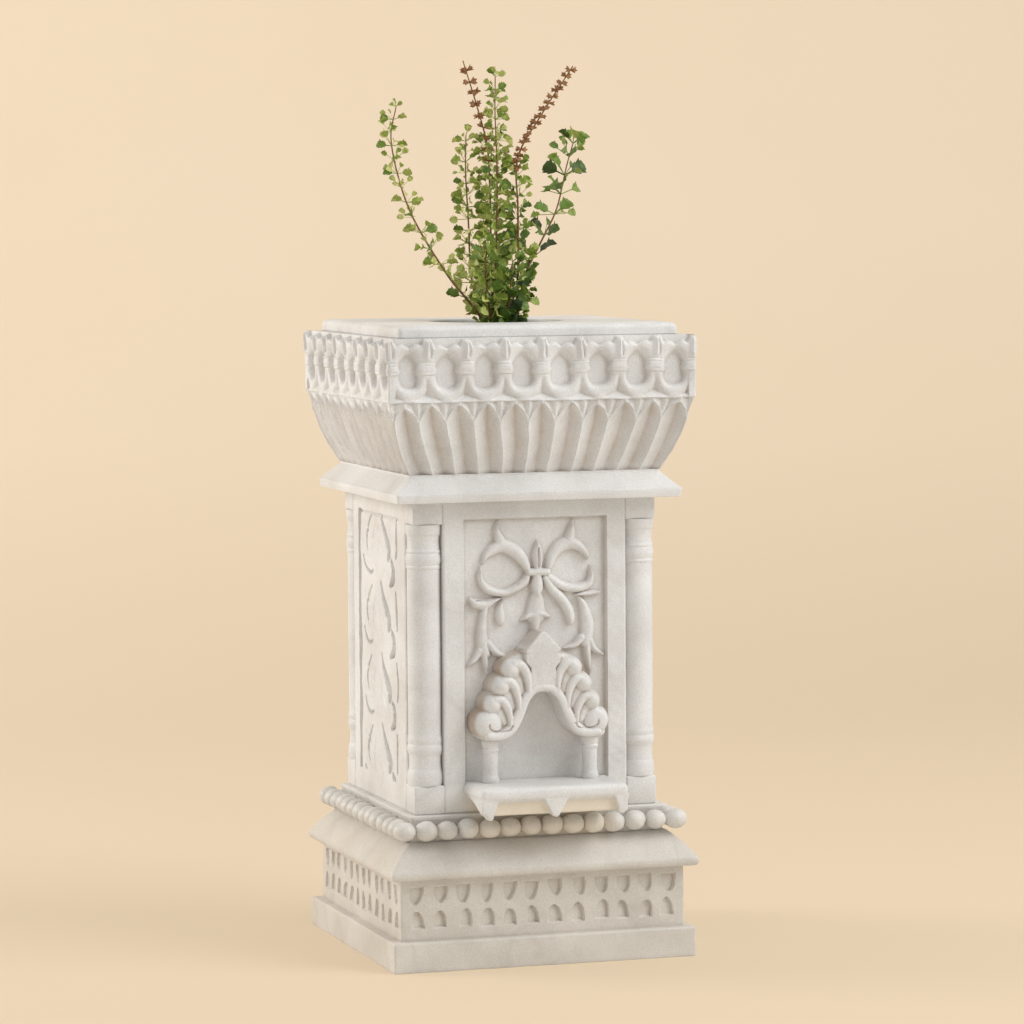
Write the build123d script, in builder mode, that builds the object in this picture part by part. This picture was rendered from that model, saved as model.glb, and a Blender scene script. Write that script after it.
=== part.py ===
from build123d import *
from math import cos, radians, sin
import os

# A square marble planter pedestal (tulsi vrindavan) in stacked courses: slab, gouged dado, cornice,
# beaded course, a hollow shaft of four corner posts and four panels, neck cornice, fluted bowl,
# looped frieze and coping. A lamp niche stands out of the front panel, and a potted holy basil
# drops into the round mouth. Millimetres, +Z up, front face towards -Y, origin at the centre of
# the underside.

# ------------------------------------------------------------------ driving sizes: heights
slab_height = 29.0
dado_height = 59.5
cornice_height = 33.0
bead_course_height = 25.0
shaft_height = 299.5
neck_height = 26.0
bowl_height = 70.0
frieze_height = 60.5
coping_height = 11.5

slab_top = slab_height
dado_top = slab_top + dado_height
cornice_top = dado_top + cornice_height
bead_course_top = cornice_top + bead_course_height
shaft_top = bead_course_top + shaft_height
neck_top = shaft_top + neck_height
bowl_top = neck_top + bowl_height
frieze_top = bowl_top + frieze_height
coping_top = frieze_top + coping_height

# ------------------------------------------------------------------ driving sizes: widths
shaft_width = 244.0
dado_reveal = 21.0  # how far each course stands out from the shaft's face
slab_margin = 9.5
cornice_overhang = 12.0
bead_core_reveal = 5.0
bead_fillet_reveal = 6.0
cornice_shoulder = 2.5
neck_overhang = 21.5
bowl_foot_reveal = 4.5
bowl_flare = 26.0
frieze_overhang = 1.5
coping_setback = 14.0

shaft_half = shaft_width / 2
dado_half = shaft_half + dado_reveal
slab_half = dado_half + slab_margin
nose_half = dado_half + cornice_overhang
bead_core_half = shaft_half + bead_core_reveal
fillet_half = shaft_half + bead_fillet_reveal
shoulder_half = fillet_half + cornice_shoulder
neck_half = shaft_half + neck_overhang
bowl_foot_half = shaft_half + bowl_foot_reveal
bowl_rim_half = bowl_foot_half + bowl_flare
frieze_half = bowl_rim_half + frieze_overhang
coping_half = frieze_half - coping_setback

# ------------------------------------------------------------------ driving sizes: the rest
fit = 0.2  # mortar and sliding clearance all round a tongue, tenon or dowel
worn_edge = 1.5  # softened arris on the slab

gouge_columns = 12  # thumb gouges in the dado, two rows
gouge_margin = 17.0
gouge_width = 12.5
gouge_tip_width = 6.0
gouge_height = 15.0
gouge_depth = 4.0
upper_gouge_drop = 7.0  # flat end of the upper row below the dado's top
lower_gouge_rise = 11.0  # flat end of the lower row above the dado's foot

cornice_nose_height = 9.5
cornice_nose_round = 2.0  # how far the nose bulges past its two ends
cornice_swell = 1.5  # how far the slope bows out of a straight line

beads_per_side = 14  # both corner beads counted
bead_gap = 0.4
bead_line_reveal = 14.4  # bead centres outside the shaft's face
bead_height = 17.4
bead_drop = 13.3  # bead centre below the course's top
bead_facets = 6
bead_crown = 4.5  # bevel round each end
roll_inset = 5.0  # the roll that the beads are cut from ends this far behind their centres
roll_rise = 2.5  # and starts this far above the cornice
fillet_height = 4.5

post_width = 30.0
post_foot_height = 27.5
post_head_height = 22.0
column_radius = 12.5
moulding_radius = 14.8
column_neck_radius = 11.2
column_torus_height = 14.0
column_foot_neck = 16.0  # heights up the column, one after another
column_ring_height = 14.0
column_head_neck = 16.0
column_collar_height = 10.0
tenon_width = 14.0
tenon_height = 8.0

panel_thickness = 24.0
panel_tongue = 8.0
panel_tongue_height = 6.0
panel_tongue_setback = 12.0
stile_width = 21.5
bottom_rail = 23.5
top_rail = 18.0
field_depth = 5.0

shelf_side_margin = 6.0  # past the arch on each side
shelf_reach = 60.0  # out from the shaft's face
shelf_thickness = 13.0
shelf_top_above_rail = 6.5
shelf_nose_radius = 5.0
pendant_drop = 15.0
pendant_root = 25.0
pendant_waist = 15.5
pendant_waist_drop = 7.0
pendant_tip = 8.0
pendant_depth = 9.0
pendant_setback = 1.0  # behind the shelf's front and ends
corner_pendant_root = 15.0
corner_pendant_waist = 10.0
corner_pendant_tip = 5.0
corner_fin_length = 42.0
corner_fin_width = 6.0
corner_fin_waist = 14.0  # from the fin's front to where it thins to the waist's drop

arch_side_gap = 2.5
arch_height = 104.0
arch_depth = 30.0
rib_relief = 2.5
volute_radius = 14.0
baluster_radius = 8.5
baluster_neck = 6.2
baluster_foot = 8.0
baluster_collar = 7.0
baluster_height = 40.5
baluster_inset = 18.0  # from the arch's side to the baluster's axis
baluster_setback = 13.0  # from the arch's front to the baluster's axis
niche_pin_width = 6.0  # square bar
niche_pin_length = 30.0
arch_pin_spread = 14.0
arch_pin_drop = 35.0  # below the arch's tip
shelf_pin_inset = 24.0  # from the shelf's ends
neck_nose_height = 9.0
neck_nose_batter = 1.0
neck_shoulder_height = 2.0
neck_shoulder_setback = 0.5

flutes_per_side = 11
flute_corner_margin = 14.0
flute_foot_depth = 5.5
flute_rim_depth = 0.8
flute_slope = 1.6  # half width over depth of the V
flute_overrun = 12.0  # cutter stands this far out of the wall and past both its ends

frieze_bays = 8
bay_corner_margin = 21.0
loop_width = 21.0
loop_height = 39.0
loop_facets = 8
loop_depth = 5.0
loop_centre_drop = 27.0
spandrel_width = 20.0
spandrel_height = 14.0

dowel_width = 10.0  # square bar
dowel_engagement = 12.0
dowel_inset = 27.0  # dowel axis from the shaft's face, on the diagonal

mouth_radius = 65.0
bowl_floor = 25.0
drain_radius = 8.0
coping_edge_radius = 5.0

pot_clearance = 5.0
pot_wall = 2.5
pot_sink = 17.0  # rim below the coping's top
pot_seat_gap = 0.3
soil_below_rim = 12.0
soil_gap = 0.3
stem_root_radius = 1.8
stem_tip_radius = 0.8
stem_facets = 5
whorl_pitch = 29.0
leaf_length = 17.0
leaf_width = 12.0
leaf_thickness = 0.7
leaf_tilt = 25.0  # degrees above level
leaf_gap = 0.6
spike_pitch = 11.0
bud_length = 7.0
bud_width = 5.0
bud_thickness = 1.4


# ------------------------------------------------------------------ shared operations
def square_course(profile, reach):
    """Run a half profile round a square plan, mitred at the corners."""
    for plane, mode in ((Plane.XZ, Mode.ADD), (Plane.YZ, Mode.INTERSECT)):
        with BuildSketch(plane) as section:
            with BuildLine():
                profile()
                mirror(about=Plane.YZ)
            make_face()
        extrude(section.sketch, amount=reach, both=True, mode=mode)


def axial_bore(radius, low, high):
    """A round hole down the planter's axis."""
    with BuildSketch(Plane.XY.offset(low)) as section:
        Circle(radius)
    extrude(section.sketch, amount=high - low, mode=Mode.SUBTRACT)


dowel_axis = shaft_half - dowel_inset
dowel_places = [(-dowel_axis, -dowel_axis), (dowel_axis, dowel_axis)]


def dowel_holes(level, direction):
    """Blind holes for the two dowels that locate one course on the next."""
    with BuildSketch(Plane.XY.offset(level)) as section:
        with Locations(*dowel_places):
            Rectangle(dowel_width + fit, dowel_width + fit)
    extrude(section.sketch, amount=direction * dowel_engagement, mode=Mode.SUBTRACT)


post_axis = shaft_half - post_width / 2
post_places = [(x, y) for x in (-post_axis, post_axis) for y in (-post_axis, post_axis)]
panel_half = shaft_half - post_width
tongue_axis = shaft_half - panel_thickness / 2
tongue_half = panel_half - panel_tongue_setback


def shaft_sockets(level, direction):
    """Mortises for the post tenons and grooves for the panel tongues, in a course above or below."""
    with BuildSketch(Plane.XY.offset(level)) as mortises:
        with Locations(*post_places):
            Rectangle(tenon_width + 2 * fit, tenon_width + 2 * fit)
    extrude(mortises.sketch, amount=direction * (tenon_height + fit), mode=Mode.SUBTRACT)
    with BuildSketch(Plane.XY.offset(level)) as grooves:
        with PolarLocations(tongue_axis, 4):
            Rectangle(panel_tongue + 2 * fit, 2 * (tongue_half + fit))
    extrude(grooves.sketch, amount=direction * (panel_tongue_height + fit), mode=Mode.SUBTRACT)


os.makedirs("parts", exist_ok=True)

# ------------------------------------------------------------------ base slab
with BuildPart() as base_slab:
    with BuildSketch():
        Rectangle(2 * slab_half, 2 * slab_half)
    extrude(amount=slab_height)
    chamfer(base_slab.edges().filter_by(Axis.Z), worn_edge)
    chamfer(base_slab.faces().sort_by(Axis.Z)[-1].edges(), worn_edge)
    dowel_holes(slab_top, -1)
base_slab.part.label = "base_slab"
export_step(base_slab.part, "parts/base_slab.step")

# ------------------------------------------------------------------ dado with two rows of gouges
gouge_pitch = 2 * (dado_half - gouge_margin) / (gouge_columns - 1)
upper_gouge = dado_top - upper_gouge_drop
lower_gouge = slab_top + lower_gouge_rise


def gouge_outline(point):
    """Flat-ended thumb gouge; point is +1 or -1, the way its narrow end points."""
    return [
        (-gouge_width / 2, 0),
        (gouge_width / 2, 0),
        (gouge_tip_width / 2, point * gouge_height),
        (-gouge_tip_width / 2, point * gouge_height),
    ]


with BuildPart() as gouge_cutter:
    for level, point in ((upper_gouge, -1), (lower_gouge, 1)):
        with BuildSketch(Plane.XZ.offset(dado_half)):
            with Locations((0, level)):
                with GridLocations(gouge_pitch, 1, gouge_columns, 1):
                    Polygon(*gouge_outline(point))
        extrude(amount=-gouge_depth)

with BuildPart() as base_dado:
    with BuildSketch(Plane.XY.offset(slab_top)):
        Rectangle(2 * dado_half, 2 * dado_half)
    extrude(amount=dado_height)
    with PolarLocations(0, 4):
        add(gouge_cutter.part, mode=Mode.SUBTRACT)
    dowel_holes(slab_top, 1)
    dowel_holes(dado_top, -1)
base_dado.part.label = "base_dado"
export_step(base_dado.part, "parts/base_dado.step")


# ------------------------------------------------------------------ base cornice
def cornice_profile():
    nose_inset = nose_half - cornice_nose_round
    nose_end = dado_top + cornice_nose_height
    middle = ((nose_inset + shoulder_half) / 2, (nose_end + cornice_top) / 2)
    Line((0, dado_top), (nose_inset, dado_top))
    nose_tip = (nose_half, dado_top + cornice_nose_height / 2)
    ThreePointArc((nose_inset, dado_top), nose_tip, (nose_inset, nose_end))
    ThreePointArc(
        (nose_inset, nose_end),
        (middle[0] + cornice_swell, middle[1] + cornice_swell),
        (shoulder_half, cornice_top),
    )
    Line((shoulder_half, cornice_top), (0, cornice_top))


with BuildPart() as base_cornice:
    square_course(cornice_profile, nose_half)
    dowel_holes(dado_top, 1)
    dowel_holes(cornice_top, -1)
base_cornice.part.label = "base_cornice"
export_step(base_cornice.part, "parts/base_cornice.step")

# ------------------------------------------------------------------ beaded course
bead_line = shaft_half + bead_line_reveal
bead_pitch = 2 * bead_line / (beads_per_side - 1)
bead_level = bead_course_top - bead_drop
bead_steps = [-bead_line + i * bead_pitch for i in range(beads_per_side)]
bead_places = [(x, side * bead_line) for x in bead_steps for side in (-1, 1)]
bead_places += [(side * bead_line, y) for y in bead_steps[1:-1] for side in (-1, 1)]

bead_flat = bead_pitch / 2 - bead_gap / 2

with BuildPart() as bead:
    with BuildSketch(Plane.XY.offset(-bead_height / 2)):
        RegularPolygon(bead_flat, bead_facets, major_radius=False, rotation=180 / bead_facets)
    extrude(amount=bead_height)
    chamfer(bead.faces().filter_by(Axis.Z).edges(), bead_crown)

roll_half = bead_line - roll_inset
roll_top = bead_course_top - fillet_height

with BuildPart() as bead_course:
    with BuildSketch(Plane.XY.offset(cornice_top)):
        Rectangle(2 * bead_core_half, 2 * bead_core_half)
    extrude(amount=roll_rise)
    with BuildSketch(Plane.XY.offset(cornice_top + roll_rise)):
        Rectangle(2 * roll_half, 2 * roll_half)
    extrude(amount=roll_top - cornice_top - roll_rise)
    with BuildSketch(Plane.XY.offset(roll_top)):
        Rectangle(2 * fillet_half, 2 * fillet_half)
    extrude(amount=fillet_height)
    with Locations(*[(x, y, bead_level) for x, y in bead_places]):
        add(bead.part)
    dowel_holes(cornice_top, 1)
    shaft_sockets(bead_course_top, -1)
bead_course.part.label = "bead_course"
export_step(bead_course.part, "parts/bead_course.step")

# ------------------------------------------------------------------ corner posts
column_foot = bead_course_top + post_foot_height
column_head = shaft_top - post_head_height


def column_profile():
    """Turned column: foot torus, neck, ring, plain drum, ring, neck and collar."""
    torus_top = column_foot + column_torus_height
    foot_ring = torus_top + column_foot_neck
    collar = column_head - column_collar_height
    head_ring = collar - column_head_neck
    Polyline(
        (0, column_foot),
        (moulding_radius, column_foot),
        (moulding_radius, torus_top),
        (column_neck_radius, torus_top),
        (column_neck_radius, foot_ring),
        (moulding_radius, foot_ring),
        (moulding_radius, foot_ring + column_ring_height),
        (column_radius, foot_ring + column_ring_height),
        (column_radius, head_ring - column_ring_height),
        (moulding_radius, head_ring - column_ring_height),
        (moulding_radius, head_ring),
        (column_neck_radius, head_ring),
        (column_neck_radius, collar),
        (moulding_radius, collar),
        (moulding_radius, column_head),
        (0, column_head),
        close=True,
    )


with BuildPart() as corner_post:
    with BuildSketch(Plane.XY.offset(bead_course_top)):
        Rectangle(post_width, post_width)
    extrude(amount=post_foot_height)
    with BuildSketch(Plane.XY.offset(column_head)):
        Rectangle(post_width, post_width)
    extrude(amount=post_head_height)
    with BuildSketch(Plane.XZ):
        with BuildLine():
            column_profile()
        make_face()
    revolve(axis=Axis.Z)
    # the web behind the column, between the two panels it closes
    with BuildSketch(Plane.XY.offset(column_foot)):
        with Locations((post_width / 4, post_width / 4)):
            Rectangle(post_width / 2, post_width / 2)
    extrude(amount=column_head - column_foot)
    with BuildSketch(Plane.XY.offset(bead_course_top - tenon_height)):
        Rectangle(tenon_width, tenon_width)
    extrude(amount=shaft_height + 2 * tenon_height)

# the web points inward on every corner
post_turns = {
    "corner_post_front_left": (-post_axis, -post_axis, 0),
    "corner_post_front_right": (post_axis, -post_axis, 90),
    "corner_post_back_right": (post_axis, post_axis, 180),
    "corner_post_back_left": (-post_axis, post_axis, 270),
}
for name, (x, y, turn) in post_turns.items():
    with BuildPart() as placed_post:
        with Locations(Location((x, y, 0), (0, 0, turn))):
            add(corner_post.part)
    placed_post.part.label = name
    export_step(placed_post.part, f"parts/{name}.step")

# ------------------------------------------------------------------ shaft panels
field_bottom = bead_course_top + bottom_rail
field_top = shaft_top - top_rail
field_half = panel_half - stile_width
field_face = shaft_half - field_depth

with BuildPart() as shaft_panel:
    with BuildSketch(Plane.XY.offset(bead_course_top)):
        with Locations((0, -tongue_axis)):
            Rectangle(2 * panel_half, panel_thickness)
    extrude(amount=shaft_height)
    with BuildSketch(Plane.XZ.offset(shaft_half)):
        with Locations((0, (field_bottom + field_top) / 2)):
            Rectangle(2 * field_half, field_top - field_bottom)
    extrude(amount=-field_depth, mode=Mode.SUBTRACT)
    with BuildSketch(Plane.XY.offset(bead_course_top - panel_tongue_height)):
        with Locations((0, -tongue_axis)):
            Rectangle(2 * tongue_half, panel_tongue)
    extrude(amount=shaft_height + 2 * panel_tongue_height)

# ------------------------------------------------------------------ niche measures
shelf_top = field_bottom + shelf_top_above_rail
shelf_bottom = shelf_top - shelf_thickness
shelf_front = shaft_half + shelf_reach
arch_half = field_half - arch_side_gap
arch_bottom = shelf_top + baluster_height
arch_top = arch_bottom + arch_height
arch_front = field_face + arch_depth
baluster_x = arch_half - baluster_inset
baluster_y = -(arch_front - baluster_setback)
shelf_half = arch_half + shelf_side_margin
pin_level_arch = arch_top - arch_pin_drop
pin_level_shelf = (shelf_bottom + field_bottom) / 2
shelf_pin_spread = shelf_half - shelf_pin_inset
pin_reach = niche_pin_length / 2


def niche_pin_holes(level, spread, face, direction):
    """Blind holes on the panel's face, or in the back of what is pinned to it."""
    with BuildSketch(Plane.XZ.offset(face)) as section:
        with Locations((-spread, level), (spread, level)):
            Rectangle(niche_pin_width + fit, niche_pin_width + fit)
    extrude(section.sketch, amount=direction * pin_reach, mode=Mode.SUBTRACT)


for name, turn in (("panel_front", 0), ("panel_right", 90), ("panel_back", 180), ("panel_left", 270)):
    with BuildPart() as placed_panel:
        with Locations(Location((0, 0, 0), (0, 0, turn))):
            add(shaft_panel.part)
        if name == "panel_front":
            niche_pin_holes(pin_level_arch, arch_pin_spread, field_face, -1)
            niche_pin_holes(pin_level_shelf, shelf_pin_spread, shaft_half, -1)
    placed_panel.part.label = name
    export_step(placed_panel.part, f"parts/{name}.step")

# ------------------------------------------------------------------ niche shelf
def pendant_outline(centre, root, waist, tip):
    """A tongue hanging from the shelf's front edge, narrowing by its widths to a blunt tip."""
    widths = [(root, -pendant_setback), (waist, pendant_waist_drop), (tip, pendant_drop)]
    left = [(centre - width / 2, shelf_bottom - drop) for width, drop in widths]
    right = [(centre + width / 2, shelf_bottom - drop) for width, drop in reversed(widths)]
    return left + right


with BuildPart() as niche_shelf:
    with BuildSketch(Plane.XY.offset(shelf_bottom)):
        with Locations((0, -shaft_half)):
            Rectangle(2 * shelf_half, shelf_reach, align=(Align.CENTER, Align.MAX))
    extrude(amount=shelf_thickness)
    front_edges = niche_shelf.faces().sort_by(Axis.Y)[0].edges()
    end_edges = niche_shelf.edges().filter_by(Axis.Y)
    fillet(front_edges.filter_by(Axis.X) + end_edges.group_by(Axis.Z)[-1], shelf_nose_radius)
    # the tail that runs back into the panel's field, over the bottom rail
    with BuildSketch(Plane.XY.offset(field_bottom)):
        with Locations((0, -shaft_half)):
            Rectangle(2 * (field_half - fit), field_depth, align=(Align.CENTER, Align.MIN))
    extrude(amount=shelf_top - field_bottom)
    corner = shelf_half - pendant_setback - corner_pendant_root / 2
    with BuildSketch(Plane.XZ.offset(shelf_front - pendant_setback)):
        Polygon(*pendant_outline(0, pendant_root, pendant_waist, pendant_tip))
        for x in (-corner, corner):
            Polygon(*pendant_outline(x, corner_pendant_root, corner_pendant_waist, corner_pendant_tip))
    extrude(amount=-pendant_depth)
    # the corner pendants run back under the shelf's ends as tapering fins
    fin_front = -(shelf_front - pendant_depth)
    for side in (-1, 1):
        with BuildSketch(Plane.YZ.offset(side * (shelf_half - pendant_setback))):
            Polygon(
                (fin_front, shelf_bottom + pendant_setback),
                (fin_front, shelf_bottom - pendant_drop),
                (fin_front + corner_fin_waist, shelf_bottom - pendant_waist_drop),
                (fin_front + corner_fin_length, shelf_bottom),
                (fin_front + corner_fin_length, shelf_bottom + pendant_setback),
            )
        extrude(amount=-side * corner_fin_width)
    niche_pin_holes(pin_level_shelf, shelf_pin_spread, shaft_half, 1)
niche_shelf.part.label = "niche_shelf"
export_step(niche_shelf.part, "parts/niche_shelf.step")

# ------------------------------------------------------------------ niche balusters
with BuildPart() as baluster:
    with BuildSketch(Plane.XZ):
        with BuildLine():
            Polyline(
                (0, 0),
                (baluster_radius, 0),
                (baluster_radius, baluster_foot),
                (baluster_neck, baluster_foot),
                (baluster_neck, baluster_height - baluster_collar),
                (baluster_radius, baluster_height - baluster_collar),
                (baluster_radius, baluster_height),
                (0, baluster_height),
                close=True,
            )
        make_face()
    revolve(axis=Axis.Z)

with BuildPart() as niche_balusters:
    with Locations((-baluster_x, baluster_y, shelf_top), (baluster_x, baluster_y, shelf_top)):
        add(baluster.part)
niche_balusters.part.label = "niche_balusters"
export_step(niche_balusters.part, "parts/niche_balusters.step")

# ------------------------------------------------------------------ niche arch
# The outline is drawn for an arch of these measures and stretched to the real one.
drawn_arch_half = 68.0
drawn_arch_height = 104.0


def at(x, rise):
    """A point of the arch's front: sideways from its centre, up from its underside."""
    return (x * arch_half / drawn_arch_half, arch_bottom + rise * arch_height / drawn_arch_height)


volute_eye = at(54, 15)


def arch_opening():
    """Ogee opening, right half, from the volute's underside up the straight jamb to the round crown."""
    ThreePointArc(at(40, 0), at(28, 7), at(22, 18))
    Line(at(22, 18), at(15, 37))
    ThreePointArc(at(15, 37), at(9, 43.5), at(0, 46))


def arch_edge():
    """Stepped outer edge, right half: crown, three overlapping leaves and the volute."""
    Line(at(0, drawn_arch_height), at(2.5, drawn_arch_height))
    Line(at(2.5, drawn_arch_height), at(19, 83))
    ThreePointArc(at(19, 83), at(33, 79), at(37, 64))
    ThreePointArc(at(37, 64), at(46, 60.5), at(50, 47))
    ThreePointArc(at(50, 47), at(57.5, 42), at(60, 28))
    ThreePointArc(at(60, 28), at(68, 15), at(57, 0))


with BuildPart() as niche_arch:
    with BuildSketch(Plane.XZ.offset(field_face)):
        with BuildLine():
            arch_opening()
            arch_edge()
            Line(at(57, 0), at(40, 0))
            mirror(about=Plane.YZ)
        make_face()
    extrude(amount=arch_depth - rib_relief)
    # the moulded rib that follows the opening and ends in the volutes
    with BuildSketch(Plane.XZ.offset(arch_front - rib_relief)):
        with BuildLine():
            arch_opening()
            Line(at(40, 0), at(50, 0))
            Line(at(50, 0), at(50, 10))
            ThreePointArc(at(50, 10), at(35.5, 13), at(29, 22))
            Line(at(29, 22), at(21.5, 42.5))
            ThreePointArc(at(21.5, 42.5), at(13, 51), at(0, 54))
            mirror(about=Plane.YZ)
        make_face()
        for side in (-1, 1):
            with Locations((side * volute_eye[0], volute_eye[1])):
                Circle(volute_radius)
    extrude(amount=rib_relief)
    # the cleft between one leaf and the next
    with BuildSketch(Plane.XZ.offset(arch_front - rib_relief)):
        for side in (-1, 1):
            Polygon(*[(side * x, z) for x, z in (at(36, 63), at(27, 60), at(24, 46))])
            Polygon(*[(side * x, z) for x, z in (at(49, 46), at(38, 44), at(33, 31))])
            Polygon(*[(side * x, z) for x, z in (at(57, 30), at(45, 31), at(40, 17))])
    extrude(amount=-rib_relief, mode=Mode.SUBTRACT)
    niche_pin_holes(pin_level_arch, arch_pin_spread, field_face, 1)
niche_arch.part.label = "niche_arch"
export_step(niche_arch.part, "parts/niche_arch.step")

# ------------------------------------------------------------------ neck cornice
def neck_profile():
    nose_top = shaft_top + neck_nose_height
    shoulder = (bowl_foot_half - neck_shoulder_setback, neck_top - neck_shoulder_height)
    Line((0, shaft_top), (neck_half - neck_nose_batter, shaft_top))
    Line((neck_half - neck_nose_batter, shaft_top), (neck_half, nose_top))
    Line((neck_half, nose_top), shoulder)
    Line(shoulder, (shoulder[0], neck_top))
    Line((shoulder[0], neck_top), (0, neck_top))


with BuildPart() as neck_cornice:
    square_course(neck_profile, neck_half)
    shaft_sockets(shaft_top, 1)
    dowel_holes(neck_top, -1)
    axial_bore(drain_radius, shaft_top, neck_top)
neck_cornice.part.label = "neck_cornice"
export_step(neck_cornice.part, "parts/neck_cornice.step")

# ------------------------------------------------------------------ fluted bowl
pocket_floor = neck_top + bowl_floor
# wall of the bowl: share of its height, share of its flare, from the foot up
bowl_wall = [(0, 0), (0.3, 0.42), (0.65, 0.73), (1, 1)]


def bowl_half(share):
    """Half width of the bowl at a share of its height."""
    for (low, inner), (high, outer) in zip(bowl_wall, bowl_wall[1:]):
        if low <= share <= high:
            return bowl_foot_half + bowl_flare * (inner + (outer - inner) * (share - low) / (high - low))


def bowl_profile():
    points = [(bowl_half(share), neck_top + share * bowl_height) for share, _ in bowl_wall]
    Line((0, neck_top), points[0])
    Polyline(*points)
    Line(points[-1], (0, bowl_top))


# one side's flutes: straight V grooves fanning out towards the rim, petals where the wall bulges
flute_steps = [i - (flutes_per_side - 1) / 2 for i in range(flutes_per_side)]
foot_pitch = 2 * (bowl_foot_half - flute_corner_margin) / (flutes_per_side - 1)
rim_pitch = 2 * (bowl_rim_half - flute_corner_margin) / (flutes_per_side - 1)
flute_mouth = flute_slope * flute_overrun

with BuildPart() as flute_cutter:
    for step in flute_steps:
        foot = Vector(step * foot_pitch, flute_foot_depth - bowl_foot_half, neck_top)
        rim = Vector(step * rim_pitch, flute_rim_depth - bowl_rim_half, bowl_top)
        run = (rim - foot).normalized()
        level = Vector(run.Z, 0, -run.X)
        with BuildSketch(Plane(origin=foot - run * flute_overrun, x_dir=level, z_dir=run)):
            Polygon((0, 0), (-flute_mouth, -flute_overrun), (flute_mouth, -flute_overrun))
        extrude(amount=(rim - foot).length + 2 * flute_overrun)

with BuildPart() as petal_bowl:
    square_course(bowl_profile, bowl_rim_half)
    with PolarLocations(0, 4):
        add(flute_cutter.part, mode=Mode.SUBTRACT)
    axial_bore(mouth_radius, pocket_floor, bowl_top)
    axial_bore(drain_radius, neck_top, pocket_floor)
    dowel_holes(neck_top, 1)
    dowel_holes(bowl_top, -1)
petal_bowl.part.label = "petal_bowl"
export_step(petal_bowl.part, "parts/petal_bowl.step")

# ------------------------------------------------------------------ looped frieze
bay_pitch = 2 * (frieze_half - bay_corner_margin) / (frieze_bays - 1)
loop_level = frieze_top - loop_centre_drop


def loop_outline():
    """Oval of the loop's sunk ground, in short flats."""
    turns = [radians(360 * i / loop_facets) for i in range(loop_facets)]
    return [(loop_width / 2 * cos(t), loop_height / 2 * sin(t)) for t in turns]


with BuildPart() as loop_cutter:
    with BuildSketch(Plane.XZ.offset(frieze_half)):
        with Locations((0, loop_level)):
            with GridLocations(bay_pitch, 1, frieze_bays, 1):
                Polygon(*loop_outline())
        with Locations((0, bowl_top)):
            with GridLocations(bay_pitch, 1, frieze_bays - 1, 1):
                Polygon((-spandrel_width / 2, 0), (spandrel_width / 2, 0), (0, spandrel_height))
    extrude(amount=-loop_depth)

with BuildPart() as loop_frieze:
    with BuildSketch(Plane.XY.offset(bowl_top)):
        Rectangle(2 * frieze_half, 2 * frieze_half)
    extrude(amount=frieze_height)
    with PolarLocations(0, 4):
        add(loop_cutter.part, mode=Mode.SUBTRACT)
    axial_bore(mouth_radius, bowl_top, frieze_top)
    dowel_holes(bowl_top, 1)
loop_frieze.part.label = "loop_frieze"
export_step(loop_frieze.part, "parts/loop_frieze.step")

# ------------------------------------------------------------------ coping with the round mouth
with BuildPart() as top_coping:
    with BuildSketch(Plane.XY.offset(frieze_top)):
        Rectangle(2 * coping_half, 2 * coping_half)
    extrude(amount=coping_height)
    fillet(top_coping.faces().sort_by(Axis.Z)[-1].edges(), coping_edge_radius)
    axial_bore(mouth_radius, frieze_top, coping_top)
top_coping.part.label = "top_coping"
export_step(top_coping.part, "parts/top_coping.step")

# ------------------------------------------------------------------ dowels and niche pins
with BuildPart() as course_dowels:
    for level in (slab_top, dado_top, cornice_top, neck_top, bowl_top):
        with BuildSketch(Plane.XY.offset(level - dowel_engagement)):
            with Locations(*dowel_places):
                Rectangle(dowel_width, dowel_width)
        extrude(amount=2 * dowel_engagement)
course_dowels.part.label = "course_dowels"
export_step(course_dowels.part, "parts/course_dowels.step")

with BuildPart() as niche_pins:
    for level, spread, face in (
        (pin_level_arch, arch_pin_spread, field_face),
        (pin_level_shelf, shelf_pin_spread, shaft_half),
    ):
        with BuildSketch(Plane.XZ.offset(face - pin_reach)):
            with Locations((-spread, level), (spread, level)):
                Rectangle(niche_pin_width, niche_pin_width)
        extrude(amount=niche_pin_length)
niche_pins.part.label = "niche_pins"
export_step(niche_pins.part, "parts/niche_pins.step")

# ------------------------------------------------------------------ grow pot and soil
pot_top = coping_top - pot_sink
pot_bottom = pocket_floor + pot_seat_gap
pot_radius = mouth_radius - pot_clearance
pot_inner_radius = pot_radius - pot_wall
inner_foot = pot_bottom + pot_wall
soil_top = pot_top - soil_below_rim


with BuildPart() as grow_pot:
    with BuildSketch(Plane.XZ):
        with BuildLine():
            Polyline(
                (0, pot_bottom),
                (pot_radius, pot_bottom),
                (pot_radius, pot_top),
                (pot_inner_radius, pot_top),
                (pot_inner_radius, inner_foot),
                (0, inner_foot),
                close=True,
            )
        make_face()
    revolve(axis=Axis.Z)
grow_pot.part.label = "grow_pot"
export_step(grow_pot.part, "parts/grow_pot.step")

with BuildPart() as soil:
    with BuildSketch(Plane.XY.offset(inner_foot + soil_gap)):
        Circle(pot_inner_radius - soil_gap)
    extrude(amount=soil_top - inner_foot - soil_gap)
soil.part.label = "soil"
export_step(soil.part, "parts/soil.step")

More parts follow.
